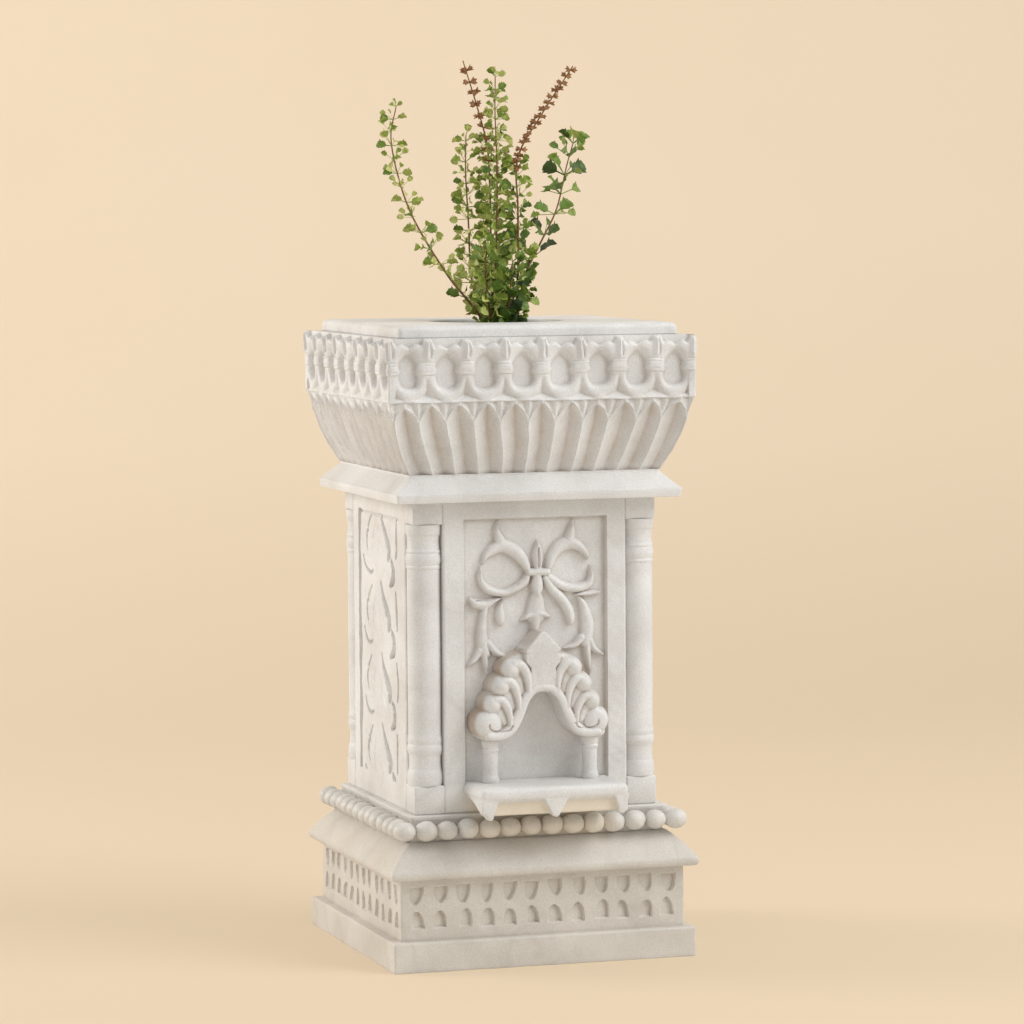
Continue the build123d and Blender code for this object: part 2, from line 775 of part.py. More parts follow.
# ------------------------------------------------------------------ holy basil
# Each stem is a hand-drawn route from the soil: x, y and height above the soil's surface.
leafy_stems = {
    "main": [(0, 0, 0), (0, 0, 66), (2, 0, 131), (2.5, 0, 189), (1, 0, 232), (1.5, 0, 268)],
    "left": [
        (-7, -3, 0), (-17, -6, 33), (-52, -14, 74), (-87, -22, 126),
        (-104, -26, 166), (-113, -28, 208), (-108, -29, 238),
    ],
    "inner_left": [
        (-5, 5, 0), (-10, 10, 32), (-18, 20, 70),
        (-20, 24, 131), (-22, 25, 175), (-21, 26, 212),
    ],
    "right": [
        (8, 4, 0), (14, 6, 36), (35, 12, 76), (54, 18, 108),
        (71, 22, 139), (82, 24, 180), (89, 24, 203),
    ],
    "low_left": [(-3, -8, 0), (-14, -18, 58), (-19, -24, 108)],
    "low_right": [(5, -8, 0), (8, -20, 50), (10, -26, 88)],
}
flower_stems = {
    "left_spike": [
        (0, 9, 0), (3, 22, 60), (4, 27, 120), (3, 26, 165),
        (0, 24, 202), (-12, 18, 240), (-29, 8, 284),
    ],
    "right_spike": [
        (11, -3, 0), (20, -6, 50), (21, -9, 90), (20, -12, 140),
        (20, -13, 189), (43, -18, 231), (73, -26, 278),
    ],
}
first_whorl = {"main": 48, "left": 54, "inner_left": 60, "right": 62, "low_left": 52, "low_right": 44}
first_bud = {"left_spike": 208, "right_spike": 194}


def stem_radius(route, height):
    """A stem thins steadily from root to tip."""
    share = height / route[-1][2]
    return stem_root_radius + share * (stem_tip_radius - stem_root_radius)


def stem_point(route, height):
    """Where a stem's axis is at a height above the soil."""
    for start, end in zip(route, route[1:]):
        if start[2] <= height <= end[2]:
            share = (height - start[2]) / (end[2] - start[2])
            return [a + share * (b - a) for a, b in zip(start, end)]


def whorl_planes(route, first, pitch):
    """Planes for opposite pairs of leaves, each pair turned a quarter from the last."""
    planes = []
    turn = 0
    height = first
    while height < route[-1][2] - pitch / 2:
        x, y, rise = stem_point(route, height)
        base = stem_radius(route, height) + leaf_gap
        for angle in (turn, turn + 180):
            out = Vector(cos(radians(angle)), sin(radians(angle)), 0)
            up = Vector(0, 0, 1)
            along = out * cos(radians(leaf_tilt)) + up * sin(radians(leaf_tilt))
            facing = up * cos(radians(leaf_tilt)) - out * sin(radians(leaf_tilt))
            root = Vector(x, y, soil_top + rise) + out * base
            planes.append(Plane(origin=root, x_dir=along, z_dir=facing))
        turn += 90
        height += pitch
    return planes


with BuildPart() as plant_stems:
    for route in (*leafy_stems.values(), *flower_stems.values()):
        for x, y, rise in route:
            with BuildSketch(Plane.XY.offset(soil_top + rise)):
                with Locations((x, y)):
                    RegularPolygon(stem_radius(route, rise), stem_facets)
        loft(ruled=True)
plant_stems.part.label = "plant_stems"
export_step(plant_stems.part, "parts/plant_stems.step")


def blade(length, width):
    """Kite outline of a leaf or a bud, growing from a narrow stalk."""
    return [(0, 0), (0.45 * length, -width / 2), (length, 0), (0.45 * length, width / 2)]


leaf_planes = []
for name, route in leafy_stems.items():
    leaf_planes += whorl_planes(route, first_whorl[name], whorl_pitch)
with BuildPart() as plant_leaves:
    with BuildSketch(*leaf_planes):
        Polygon(*blade(leaf_length, leaf_width))
    extrude(amount=leaf_thickness / 2, both=True)
plant_leaves.part.label = "plant_leaves"
export_step(plant_leaves.part, "parts/plant_leaves.step")

bud_planes = []
for name, route in flower_stems.items():
    bud_planes += whorl_planes(route, first_bud[name], spike_pitch)
with BuildPart() as flower_spikes:
    with BuildSketch(*bud_planes):
        Polygon(*blade(bud_length, bud_width))
    extrude(amount=bud_thickness / 2, both=True)
flower_spikes.part.label = "flower_spikes"
export_step(flower_spikes.part, "parts/flower_spikes.step")
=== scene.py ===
# %% [markdown]
# # A marble tulsi vrindavan, course by course
# A tulsi vrindavan is the pedestal that holds a household's holy basil. This one is cut from
# white marble in stacked courses, carved in low relief, with a lamp niche on its front.
# The construction is already fixed: every course has its real size and place in the frame.
# What is made here is what the eye sees, which is the carving, the worn stone and the plant.
# Each piece takes its sizes from the frame, so it lands exactly where its solid is.

import bpy
import numpy as np
from mathutils import Matrix, Vector
from math import cos, pi, radians, sin


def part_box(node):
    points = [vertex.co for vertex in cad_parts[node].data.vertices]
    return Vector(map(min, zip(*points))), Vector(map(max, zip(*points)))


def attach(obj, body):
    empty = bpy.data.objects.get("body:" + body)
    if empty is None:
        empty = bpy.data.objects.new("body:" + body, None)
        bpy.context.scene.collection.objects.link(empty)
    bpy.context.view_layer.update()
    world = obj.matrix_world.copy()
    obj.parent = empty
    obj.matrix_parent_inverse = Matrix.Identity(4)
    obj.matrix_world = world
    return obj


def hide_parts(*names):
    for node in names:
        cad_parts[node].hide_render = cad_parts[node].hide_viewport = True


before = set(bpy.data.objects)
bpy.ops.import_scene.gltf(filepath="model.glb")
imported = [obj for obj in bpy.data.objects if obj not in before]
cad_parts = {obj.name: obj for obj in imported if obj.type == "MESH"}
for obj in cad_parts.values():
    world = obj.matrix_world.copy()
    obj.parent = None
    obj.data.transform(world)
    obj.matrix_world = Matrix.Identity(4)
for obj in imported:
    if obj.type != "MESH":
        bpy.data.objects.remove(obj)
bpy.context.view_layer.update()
mm = 0.001
scene = bpy.context.scene
bpy.ops.object.select_all(action="DESELECT")


def reach(node):
    """Half width, lowest and highest level of a node that stands square on the axis, in mm."""
    low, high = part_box(node)
    return high.x / mm, low.z / mm, high.z / mm


def corners(node):
    """The two opposite corners of a node's box as arrays, in mm."""
    low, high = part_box(node)
    return np.array(low) / mm, np.array(high) / mm


# %% [markdown]
# ## Handling meshes
# Carved stone is a surface with a height at every point. A primitive cut and pushed by hand can't
# hold hundreds of chisel cuts, so most pieces start as a fine grid that an operator adds, and numpy
# then moves all its points at once by a formula. That is sculpting in code, and it keeps walls,
# grooves and leaves at their measured depth. Operators then close, thicken and smooth the result.

# %% Points of a mesh
def piece_from_grid(name, columns, rows):
    """A fresh grid of quads, ready to have its points placed row by row."""
    bpy.ops.mesh.primitive_grid_add(x_subdivisions=columns, y_subdivisions=rows, size=1)
    piece = bpy.context.object
    piece.name = piece.data.name = name
    return piece


def move_points(piece, points):
    """Put every vertex at its place, given in mm, with the object itself left at the origin."""
    piece.matrix_world = Matrix.Identity(4)
    piece.data.vertices.foreach_set("co", (points * mm).astype(np.float32).ravel())
    piece.data.update()


def read_points(piece):
    """Every vertex of a piece, in mm."""
    flat = np.empty(len(piece.data.vertices) * 3)
    piece.data.vertices.foreach_get("co", flat)
    return flat.reshape(-1, 3) / mm


def paint(piece, name, values):
    """Keep one number per point, for a material to read."""
    layer = piece.data.attributes.new(name, "FLOAT", "POINT")
    layer.data.foreach_set("value", values.astype(np.float32).ravel())


# %% Edit mode and its steps
weld = 0.01 * mm  # points closer than this are one


def select_only(piece):
    """Select one piece and make it the active one, because operators act on all that is selected."""
    bpy.ops.object.select_all(action="DESELECT")
    piece.select_set(True)
    bpy.context.view_layer.objects.active = piece


def edit(piece, *steps):
    """Open one piece in edit mode with everything selected, run the steps and close it."""
    select_only(piece)
    bpy.ops.object.mode_set(mode="EDIT")
    bpy.ops.mesh.select_all(action="SELECT")
    for step in steps:
        step()
    bpy.ops.object.mode_set(mode="OBJECT")


def weld_points():
    bpy.ops.mesh.remove_doubles(threshold=weld)


def select_rims():
    """Select the edges that have a face on one side only."""
    bpy.ops.mesh.select_all(action="DESELECT")
    bpy.ops.mesh.select_mode(type="EDGE")
    bpy.ops.mesh.select_non_manifold(extend=False)


def push_out(shift):
    """Extrude what is selected along a shift in mm."""
    bpy.ops.mesh.extrude_region_move(TRANSFORM_OT_translate={"value": [c * mm for c in shift]})


def cap_ends():
    """Close every open rim with one flat face."""
    select_rims()
    bpy.ops.mesh.fill_holes(sides=0)
    bpy.ops.mesh.select_mode(type="VERT")


def face_outward():
    bpy.ops.mesh.select_all(action="SELECT")
    bpy.ops.mesh.normals_make_consistent(inside=False)


# %% Whole pieces
def smooth(piece, angle=38.0):
    """Shade smooth, with a crease where two faces meet at more than an angle in degrees."""
    select_only(piece)
    bpy.ops.object.shade_smooth_by_angle(angle=radians(angle))


def modify(piece, kind, **settings):
    """Give a piece one modifier and apply it."""
    change = piece.modifiers.new("change", kind)
    for key, value in settings.items():
        setattr(change, key, value)
    bpy.context.view_layer.objects.active = piece
    bpy.ops.object.modifier_apply(modifier="change")


def from_points(name, points, edges=(), faces=()):
    """A piece whose few points, in mm, are given outright."""
    mesh = bpy.data.meshes.new(name)
    mesh.from_pydata([tuple(c * mm for c in point) for point in points], edges, faces)
    piece = bpy.data.objects.new(name, mesh)
    scene.collection.objects.link(piece)
    return piece


def joined(name, pieces):
    """Several objects made one."""
    bpy.ops.object.select_all(action="DESELECT")
    for piece in pieces:
        piece.select_set(True)
    bpy.context.view_layer.objects.active = pieces[0]
    bpy.ops.object.join()
    whole = bpy.context.object
    whole.name = whole.data.name = name
    return whole


def copied(piece, name, matrix):
    """A copy with its own mesh, moved by a matrix in mm."""
    twin = piece.copy()
    twin.data = piece.data.copy()
    twin.name = twin.data.name = name
    scene.collection.objects.link(twin)
    grown = matrix.copy()
    grown.translation = matrix.translation * mm
    twin.data.transform(grown)
    return twin


def coated(piece, finish):
    """Give a piece one material and nothing else."""
    piece.data.materials.clear()
    piece.data.materials.append(finish)


def finished(piece, finish, body, slot, *nodes):
    """Coat a piece, hand it to its body and hide the nodes that it stands for. The slot is not used."""
    coated(piece, finish)
    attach(piece, body)
    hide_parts(*nodes)
    print(f"{piece.name}: {len(piece.data.polygons)} faces")


# %% [markdown]
# ## Unevenness
# Hand-cut marble is never quite flat, and its edges are nibbled. A noise texture in a displace
# modifier could do that, but a formula can also bend the carving's own lines. So a sum of slow
# waves in fixed random directions moves every surface by a few tenths of a millimetre, the same
# way on every run.

# %% Slow random waves
draw = np.random.default_rng(14)
wave_count = 14
wave_directions = draw.normal(size=(wave_count, 3))
wave_directions /= np.linalg.norm(wave_directions, axis=1)[:, None]
wave_stretch = draw.uniform(0.6, 1.7, wave_count)
wave_phases = draw.uniform(0, 2 * pi, wave_count)


def unevenness(points, wavelength):
    """Smooth noise of about one unit's swing, at a wavelength in mm."""
    waves = points @ (wave_directions * (wave_stretch * 2 * pi / wavelength)[:, None]).T
    return np.sin(waves + wave_phases).sum(axis=1) / np.sqrt(wave_count)


def smoothstep(x):
    """An eased step from 0 to 1."""
    x = np.clip(x, 0, 1)
    return x * x * (3 - 2 * x)


# %% [markdown]
# ## A course of stone
# Every course is a square ring or block. Four extruded walls would need their corners mended, so
# one sheet of quads is wrapped round instead: its columns run round the four sides, its rows climb
# the profile. Round rows can follow square ones, which turns the top inward to the planting hole
# and down its wall. The corners get a small radius.

# %% Wrap a sheet round a square profile
corner_radius = 2.2  # mm, the worn arris on each upright corner
corner_steps = np.array([0.4, 0.9, 1.5, 2.2])  # mm from the corner to the columns that round it
quarter_turns = [(1, 0), (0, 1), (-1, 0), (0, -1)]  # cosine and sine: front, right, back, left
slow_wave, quick_wave = 55, 17  # mm, the sway of a whole wall and of a chisel's passes


def side_steps(columns, half):
    """Places along one side as shares of the half width, closer together round the corner."""
    even = np.linspace(-1, 1, columns + 1)
    near_corner = 1 - corner_steps / half
    return np.unique(np.concatenate([even, near_corner, -near_corner]))


def square_points(steps, half, radius, relief):
    """One row round a square plan with rounded corners; relief pushes out along the wall."""
    inner = half - radius
    along = steps * half
    turn = np.clip((np.abs(along) - inner) / radius, 0, 1) * np.sign(along) * pi / 4
    centre = np.clip(along, -inner, inner)
    x = centre + (radius + relief) * np.sin(turn)
    y = -(inner + (radius + relief) * np.cos(turn))
    return x, y


def wrapped_course(name, rows, columns, relief=None, bore=False, rough=0.25, radius=corner_radius):
    """Rows are (kind, reach, height): 'square', 'carved' or 'round', from the underside up and over."""
    steps = side_steps(columns, max(reach_out for _, reach_out, _ in rows))
    if bore:
        rows = rows + rows[:1]
    around = 4 * (len(steps) - 1)
    piece = piece_from_grid(name, around, len(rows) - 1)
    points, stains_and_shade = [], []
    carved = [i for i, row in enumerate(rows) if row[0] == "carved"]
    heights = np.zeros((4, len(rows), len(steps)))
    hollows = np.zeros_like(heights)
    if relief:
        across = steps[None, :] * np.array([rows[i][1] for i in carved])[:, None]
        level = np.repeat(np.array([rows[i][2] for i in carved])[:, None], len(steps), axis=1)
        for side in range(4):
            carving, hollow = relief(across, level, side)
            heights[side, carved] = carving
            hollows[side, carved] = hollow
    for i, (kind, reach_out, height) in enumerate(rows):
        for side, (c, s) in enumerate(quarter_turns):
            if kind == "round":
                x, y = reach_out * np.sin(steps * pi / 4), -reach_out * np.cos(steps * pi / 4)
            else:
                x, y = square_points(steps, reach_out, radius, heights[side, i])
            ring = np.stack([c * x - s * y, s * x + c * y, np.full_like(x, height)], axis=1)
            last = None if side == 3 else -1
            points.append(ring[:last])
            stains_and_shade.append(hollows[side, i][:last])
    points = np.concatenate(points)
    stains_and_shade = np.concatenate(stains_and_shade)
    outer = np.repeat([kind != "round" for kind, _, _ in rows], around + 1)
    sway = rough * (unevenness(points, slow_wave) + 0.5 * unevenness(points, quick_wave)) * outer
    away = points[:, :2] / np.linalg.norm(points[:, :2], axis=1)[:, None]
    points[:, :2] -= away * (sway + rough)[:, None]
    move_points(piece, points)
    # stain and painted shade in the hollows, from each relief
    paint(piece, "crevice", stains_and_shade)
    edit(piece, weld_points, cap_ends, face_outward)
    smooth(piece)
    return piece


# %% [markdown]
# ## Camera and light
# The camera is long and low and stands a little left of the front, so that the upright edges stay
# parallel. It is turned by its own three axes, because it also leans by a fraction of a degree.
# One large soft lamp to the front right models the relief. A lower one on the left keeps the
# shadows open, and a faint one overhead lifts the coping.

# %% Camera
camera_lens = 152.9  # mm on a 36 mm sensor
camera_azimuth = radians(-17.43)
camera_elevation = radians(4.19)
camera_roll = radians(-0.41)
camera_distance = 4293.3  # mm from the aim
aim_level = 300.0  # mm above the floor, on the planter's axis
aim_right, aim_up = 14.8, 125.0  # mm, how far the view is moved from there

back = Vector((
    sin(camera_azimuth) * cos(camera_elevation),
    -cos(camera_azimuth) * cos(camera_elevation),
    sin(camera_elevation),
))
right = Vector((cos(camera_azimuth), sin(camera_azimuth), 0))
up = back.cross(right)
level_right = cos(camera_roll) * right + sin(camera_roll) * up
level_up = -sin(camera_roll) * right + cos(camera_roll) * up
place = Vector((0, 0, aim_level)) + aim_right * right + aim_up * up + camera_distance * back
facing = Matrix((level_right, level_up, back)).transposed().to_4x4()
camera_data = bpy.data.cameras.new("camera")
camera_data.lens = camera_lens
camera = bpy.data.objects.new("camera", camera_data)
camera.matrix_world = Matrix.Translation(place * mm) @ facing
scene.collection.objects.link(camera)
scene.camera = camera
print("camera:", camera_lens, "mm lens,", round(camera_distance), "mm away")


# %% Lamps and surroundings
def linear(hex_colour):
    """An sRGB hex colour as the linear numbers that shaders expect."""
    shares = [int(hex_colour[i:i + 2], 16) / 255 for i in (1, 3, 5)]
    return [s / 12.92 if s <= 0.04045 else ((s + 0.055) / 1.055) ** 2.4 for s in shares] + [1.0]


def lamp(name, azimuth, elevation, distance, size, watts, colour, aim=(0, 0, 0.35)):
    """A square soft box, in metres, at an azimuth and elevation about its aim and facing it."""
    data = bpy.data.lights.new(name, "AREA")
    data.shape = "SQUARE"
    data.size = size
    data.energy = watts
    data.color = linear(colour)[:3]
    soft_box = bpy.data.objects.new(name, data)
    a, e = radians(azimuth), radians(elevation)
    toward = Vector((sin(a) * cos(e), -cos(a) * cos(e), sin(e)))
    soft_box.location = Vector(aim) + toward * distance
    soft_box.rotation_euler = toward.to_track_quat("Z", "Y").to_euler()
    scene.collection.objects.link(soft_box)
    print(f"{name}: {watts} W from {azimuth}, {elevation} degrees")


lamp("key_lamp", 51, 38, 3.0, 2.0, 55, "#ffffff", aim=(0, 0, 0.45))
lamp("side_lamp", -118, 20, 3.2, 1.4, 53, "#fffaf5")
lamp("top_lamp", 10, 80, 3.0, 2.4, 5, "#ffffff")

world = bpy.data.worlds.new("studio")
scene.world = world
world.use_nodes = True
room = world.node_tree.nodes["Background"].inputs
room["Color"].default_value = linear("#faf8f5")
room["Strength"].default_value = 0.6  # an even room light that fills what the lamps don't reach
scene.view_settings.view_transform = "Standard"

# %% [markdown]
# ## Finishes
# A material here is a chain of small nodes. They could be wired by mouse, or written out one call
# at a time. One helper that adds a node, sets it up and wires it lets each finish read as a recipe.

# %% One helper for every node
def node(finish, kind, settings=None, **links):
    """Add a node. Settings are its properties, values for its sockets or the stops of its ramp;
    links name the sockets that other sockets feed, or number them after an underscore."""
    tree = finish.node_tree
    made = tree.nodes.new("ShaderNode" + kind)
    for key, value in (settings or {}).items():
        if key == "stops":
            while len(made.color_ramp.elements) < len(value):
                made.color_ramp.elements.new(0.5)
            for element, (position, colour) in zip(made.color_ramp.elements, value):
                element.position = position
                element.color = linear(colour)
        elif isinstance(key, str) and hasattr(made, key):
            setattr(made, key, value)
        else:
            made.inputs[key].default_value = value
    for key, source in links.items():
        socket = made.inputs[int(key[1:])] if key[1:].isdigit() else made.inputs[key.replace("_", " ")]
        tree.links.new(source, socket)
    return made


# %% Materials
mixed = {"data_type": "RGBA", "blend_type": "MIX"}  # socket 0 is the share, 6 and 7 the two colours
multiplied = {"data_type": "RGBA", "blend_type": "MULTIPLY"}


def material(name):
    """An empty node material with its principled shader."""
    made = bpy.data.materials.new(name)
    made.use_nodes = True
    return made, made.node_tree.nodes["Principled BSDF"]


def wired(finish, shader, colour, bump, roughness=None):
    """Feed the shader its colour, its bump and, where it varies, its roughness."""
    tree = finish.node_tree
    tree.links.new(colour, shader.inputs["Base Color"])
    tree.links.new(bump.outputs[0], shader.inputs["Normal"])
    if roughness:
        tree.links.new(roughness, shader.inputs["Roughness"])
    print(f"{finish.name}: {len(tree.nodes)} nodes")
    return finish


# %% [markdown]
# ## Honed marble
# White Makrana marble is a calcite stone, honed rather than polished, so it has a soft broad
# shine. Cloudy patches a few centimetres wide drift between white and warm grey, thin grey veins
# wander through it, and millimetre crystals give it a sugary grain. Years of oil, water and
# vermilion dust leave a tan stain where the chisel cut deepest. A picture of stone would repeat
# and smear on carving, so all of this comes from noise at real sizes, in the stone's own space.
# The tan in the hollows is partly stain and partly painted shade. The stone is also painted
# darker towards the floor, as shade, and the shade under the lamp shelf is painted a warm
# bounce colour.

# %% Makrana marble
cloud_size, drift_size, vein_size = 55 * mm, 90 * mm, 130 * mm
patch_size, chisel_size = 18 * mm, 7 * mm
crystal_size = 1.6 * mm  # as large as calcite grains get, so that they show
low_shade_top, low_shade_foot = 0.17, 0.11  # metres; below these levels the stone is painted darker, as shade where less light reaches


def marble_colour(stone, coordinates, clouds, crystals):
    """Cloudy white stone with veins and crystals, before any stain."""
    cloudy = node(stone, "ValToRGB", {"stops": [(0.32, "#dcdad7"), (0.5, "#e4e3e1"), (0.68, "#ebeae8")]},
                  Fac=clouds).outputs[0]
    drift = node(stone, "TexNoise", {"Scale": 1 / drift_size, "Detail": 3.0}, Vector=coordinates)
    bent = node(stone, "VectorMath", {"operation": "MULTIPLY_ADD", 1: (0.12, 0.12, 0.12)},
                _0=drift.outputs["Color"], _2=coordinates)
    vein = node(stone, "TexNoise", {"Scale": 1 / vein_size, "Detail": 2.0, "Roughness": 0.4},
                Vector=bent.outputs[0])
    line = node(stone, "Math", {"operation": "SUBTRACT", 1: 0.5}, _0=vein.outputs["Fac"])
    line = node(stone, "Math", {"operation": "ABSOLUTE"}, _0=line.outputs[0])
    line = node(stone, "MapRange", {"From Min": 0.0, "From Max": 0.03, "To Min": 0.16, "To Max": 0.0},
                Value=line.outputs[0])
    veined = node(stone, "Mix", {**mixed, 7: linear("#bdb9b4")}, _0=line.outputs[0], _6=cloudy)
    sugar = node(stone, "ValToRGB", {"stops": [(0.3, "#ececec"), (0.7, "#ffffff")]}, Fac=crystals)
    return node(stone, "Mix", {**multiplied, 0: 1.0}, _6=veined.outputs[2], _7=sugar.outputs[0]).outputs[2]


def aged_and_shaded(stone, coordinates, fresh):
    """Fresh stone painted darker near the floor as shade, stained and painted with shade in its hollows, and painted
    with warm bounce light where a piece says so.
    """
    level = node(stone, "SeparateXYZ", Vector=coordinates)
    # painted shade: the stone darkens towards the floor
    near_floor = node(stone, "MapRange",
                      {"From Min": low_shade_foot, "From Max": low_shade_top, "To Min": 1.0, "To Max": 0.0},
                      Value=level.outputs["Z"])
    shaded_low = node(stone, "Mix", {**multiplied, 7: linear("#f3eee6")}, _0=near_floor.outputs[0], _6=fresh)
    # the tan in the hollows is partly stain and partly painted shade, as much as each piece's relief gives
    crevice = node(stone, "Attribute", {"attribute_name": "crevice"})
    patch = node(stone, "TexNoise", {"Scale": 1 / patch_size, "Detail": 3.0}, Vector=coordinates)
    patchy = node(stone, "MapRange", {"From Min": 0.25, "From Max": 0.7, "To Min": 0.45, "To Max": 1.0},
                  Value=patch.outputs["Fac"])
    stain_and_shade = node(stone, "Math", {"operation": "MULTIPLY", "use_clamp": True},
                 _0=crevice.outputs["Fac"], _1=patchy.outputs[0])
    stained_and_shaded = node(stone, "Mix", {**mixed, 7: linear("#a98c6c")}, _0=stain_and_shade.outputs[0], _6=shaded_low.outputs[2])
    # painted warm bounce light in the shade under the lamp shelf
    warmth = node(stone, "Attribute", {"attribute_name": "warmth"})
    return node(stone, "Mix", {**mixed, 7: linear("#e9d4b0")},
                _0=warmth.outputs["Fac"], _6=stained_and_shaded.outputs[2]).outputs[2]


def makrana_marble():
    """Honed calcite marble: a broad soft shine, cloudier where it is rougher."""
    stone, shader = material("honed_makrana_marble")
    coordinates = node(stone, "TexCoord").outputs["Object"]
    cloud = node(stone, "TexNoise", {"Scale": 1 / cloud_size, "Detail": 4.0, "Roughness": 0.55}, Vector=coordinates)
    crystal = node(stone, "TexNoise", {"Scale": 1 / crystal_size, "Detail": 3.0, "Roughness": 0.6},
                   Vector=coordinates)
    fresh = marble_colour(stone, coordinates, cloud.outputs["Fac"], crystal.outputs["Fac"])
    sheen = node(stone, "MapRange", {"To Min": 0.36, "To Max": 0.56}, Value=cloud.outputs["Fac"])
    shader.inputs["IOR"].default_value = 1.5
    chisel = node(stone, "TexNoise", {"Scale": 1 / chisel_size, "Detail": 3.0}, Vector=coordinates)
    tooled = node(stone, "Bump", {"Strength": 0.35, "Distance": 0.6 * mm}, Height=chisel.outputs["Fac"])
    grained = node(stone, "Bump", {"Strength": 0.25, "Distance": 0.2 * mm}, Height=crystal.outputs["Fac"],
                   Normal=tooled.outputs[0])
    return wired(stone, shader, aged_and_shaded(stone, coordinates, fresh), grained, sheen.outputs[0])


marble = makrana_marble()


def marble_piece(piece, *nodes):
    """Every stone has the one marble and belongs to the stonework."""
    finished(piece, marble, "stonework", "marble", *nodes)


# %% [markdown]
# ## The plain courses
# The slab, the two cornices and the coping have no carving. They could be cubes with bevelled
# edges, but their slopes swell and their noses are half round. So they are profiles run round the
# square: each point of the profile is one row, and rounded noses and worn arrises are short runs
# of closely set rows.

# %% Profile helpers
course_columns = 110  # quads along each side of a plain course
hidden_reach = 40.0  # mm from the wall to where a hidden bed is closed by one flat face


def run(kind, points):
    """Rows of one kind from (reach, height) points."""
    return [(kind, reach_out, height) for reach_out, height in points]


def arc(centre_out, centre_up, radius, start, end, count=5, squash=1.0):
    """Points on an arc of the profile; angles in degrees, 0 outward and 90 up."""
    return [
        (centre_out + radius * cos(radians(a)), centre_up + squash * radius * sin(radians(a)))
        for a in np.linspace(start, end, count)
    ]


def levels(reach_out, low, high, count):
    """Points straight up a wall."""
    return [(reach_out, height) for height in np.linspace(low, high, count)]


# %% Base slab
slab_half, slab_low, slab_top = reach("base_slab")
slab_edge = 2.0
slab_rows = run("square", [(slab_half - hidden_reach, slab_low)])
slab_rows += run("square", arc(slab_half - 1, slab_low + 1, 1, -90, 0, 3))
slab_rows += run("square", levels(slab_half, slab_low + 4, slab_top - 5, 6))
slab_rows += run("square", arc(slab_half - slab_edge, slab_top - slab_edge, slab_edge, 0, 90))
slab_rows += run("square", [(slab_half - 8, slab_top), (slab_half - hidden_reach, slab_top)])
marble_piece(wrapped_course("base_slab_marble", slab_rows, course_columns, rough=0.4), "base_slab")

# %% Base cornice
nose_half, cornice_low, cornice_top = reach("base_cornice")
shoulder_half = reach("bead_course")[0] - 16
nose_height = 9.5
nose_radius = 3
slope_end = 130.5  # mm from the axis, under the beads
swell_out, swell_up = 0.8, 1.2  # mm by which the slope bellies
nose = arc(nose_half - nose_radius, cornice_low + nose_height / 2, nose_radius, -90, 45, 8,
           squash=nose_height / (2 * nose_radius))
slope_foot, slope_low = nose[-1]
slope = [
    (slope_foot + (slope_end - slope_foot) * t + swell_out * sin(pi * t),
     slope_low + (cornice_top - slope_low) * t + swell_up * sin(pi * t))
    for t in np.linspace(0.06, 1, 14)
]
cornice_rows = run("square", [(nose_half - 50, cornice_low)] + nose + slope)
cornice_rows += run("square", [(shoulder_half - 20, cornice_top)])
marble_piece(wrapped_course("base_cornice_marble", cornice_rows, course_columns, rough=0.35), "base_cornice")

# %% Neck cornice
neck_half, neck_low, neck_top = reach("neck_cornice")
neck_foot = 126.0  # half width of the bed that the bowl stands on
slope_start = neck_half - 1.2
neck_slope = [
    (slope_start + (neck_foot - slope_start) * t, neck_low + 9.2 + (neck_top - neck_low - 11.2) * t)
    for t in np.linspace(0, 1, 10)
]
neck_rows = run("square", [(neck_half - 50, neck_low)])
neck_rows += run("square", arc(neck_half - 2, neck_low + 1, 1, -90, 0, 3))
neck_rows += run("square", [(neck_half - 0.5, neck_low + 5)])
neck_rows += run("square", arc(neck_half - 1, neck_low + 8, 1, 0, 70, 3))
neck_rows += run("square", neck_slope + [(neck_foot, neck_top), (neck_half - 50, neck_top)])
marble_piece(wrapped_course("neck_cornice_marble", neck_rows, course_columns, rough=0.3), "neck_cornice")

# %% Coping with the round mouth
coping_half, coping_low, coping_top = reach("top_coping")
mouth_radius = 65.0
mouth_edge = 2.0
coping_edge = 5.0
coping_rows = run("round", [(mouth_radius, coping_low)]) + run("square", [(coping_half - 1, coping_low)])
coping_rows += run("square", [(coping_half, coping_low + 1), (coping_half, coping_low + 4)])
coping_rows += run("square", arc(coping_half - coping_edge, coping_top - coping_edge, coping_edge, 0, 90, 8))
coping_rows += run("square", [(coping_half - 12, coping_top), (coping_half - 30, coping_top)])
coping_rows += run("round", arc(mouth_radius + mouth_edge, coping_top - mouth_edge, -mouth_edge, -90, 0, 5))
marble_piece(
    wrapped_course("top_coping_marble", coping_rows, course_columns, bore=True, radius=coping_edge), "top_coping")

# %% [markdown]
# ## Cutting and raising
# Relief is described by strokes. A stroke follows a smooth curve through a few given points,
# each with its half width, and stands up with a steep foot and a crowned back, as a chisel
# leaves it. Curves with a bevel could be laid on the stone, but they would stay separate tubes.
# Strokes join by the higher one, so leaves grow out of each other and out of the ground.

# %% Strokes
def curve_through(points, per_span=9):
    """Smooth curve through x, z and half width."""
    p = np.array(points, float)
    p = np.vstack([2 * p[0] - p[1], p, 2 * p[-1] - p[-2]])
    t = np.linspace(0, 1, per_span, endpoint=False)[:, None]
    spans = [
        0.5 * (2 * b + (c - a) * t + (2 * a - 5 * b + 4 * c - d) * t**2 + (3 * b - a - 3 * c + d) * t**3)
        for a, b, c, d in zip(p, p[1:], p[2:], p[3:])
    ]
    return np.vstack(spans + [p[-2][None]])


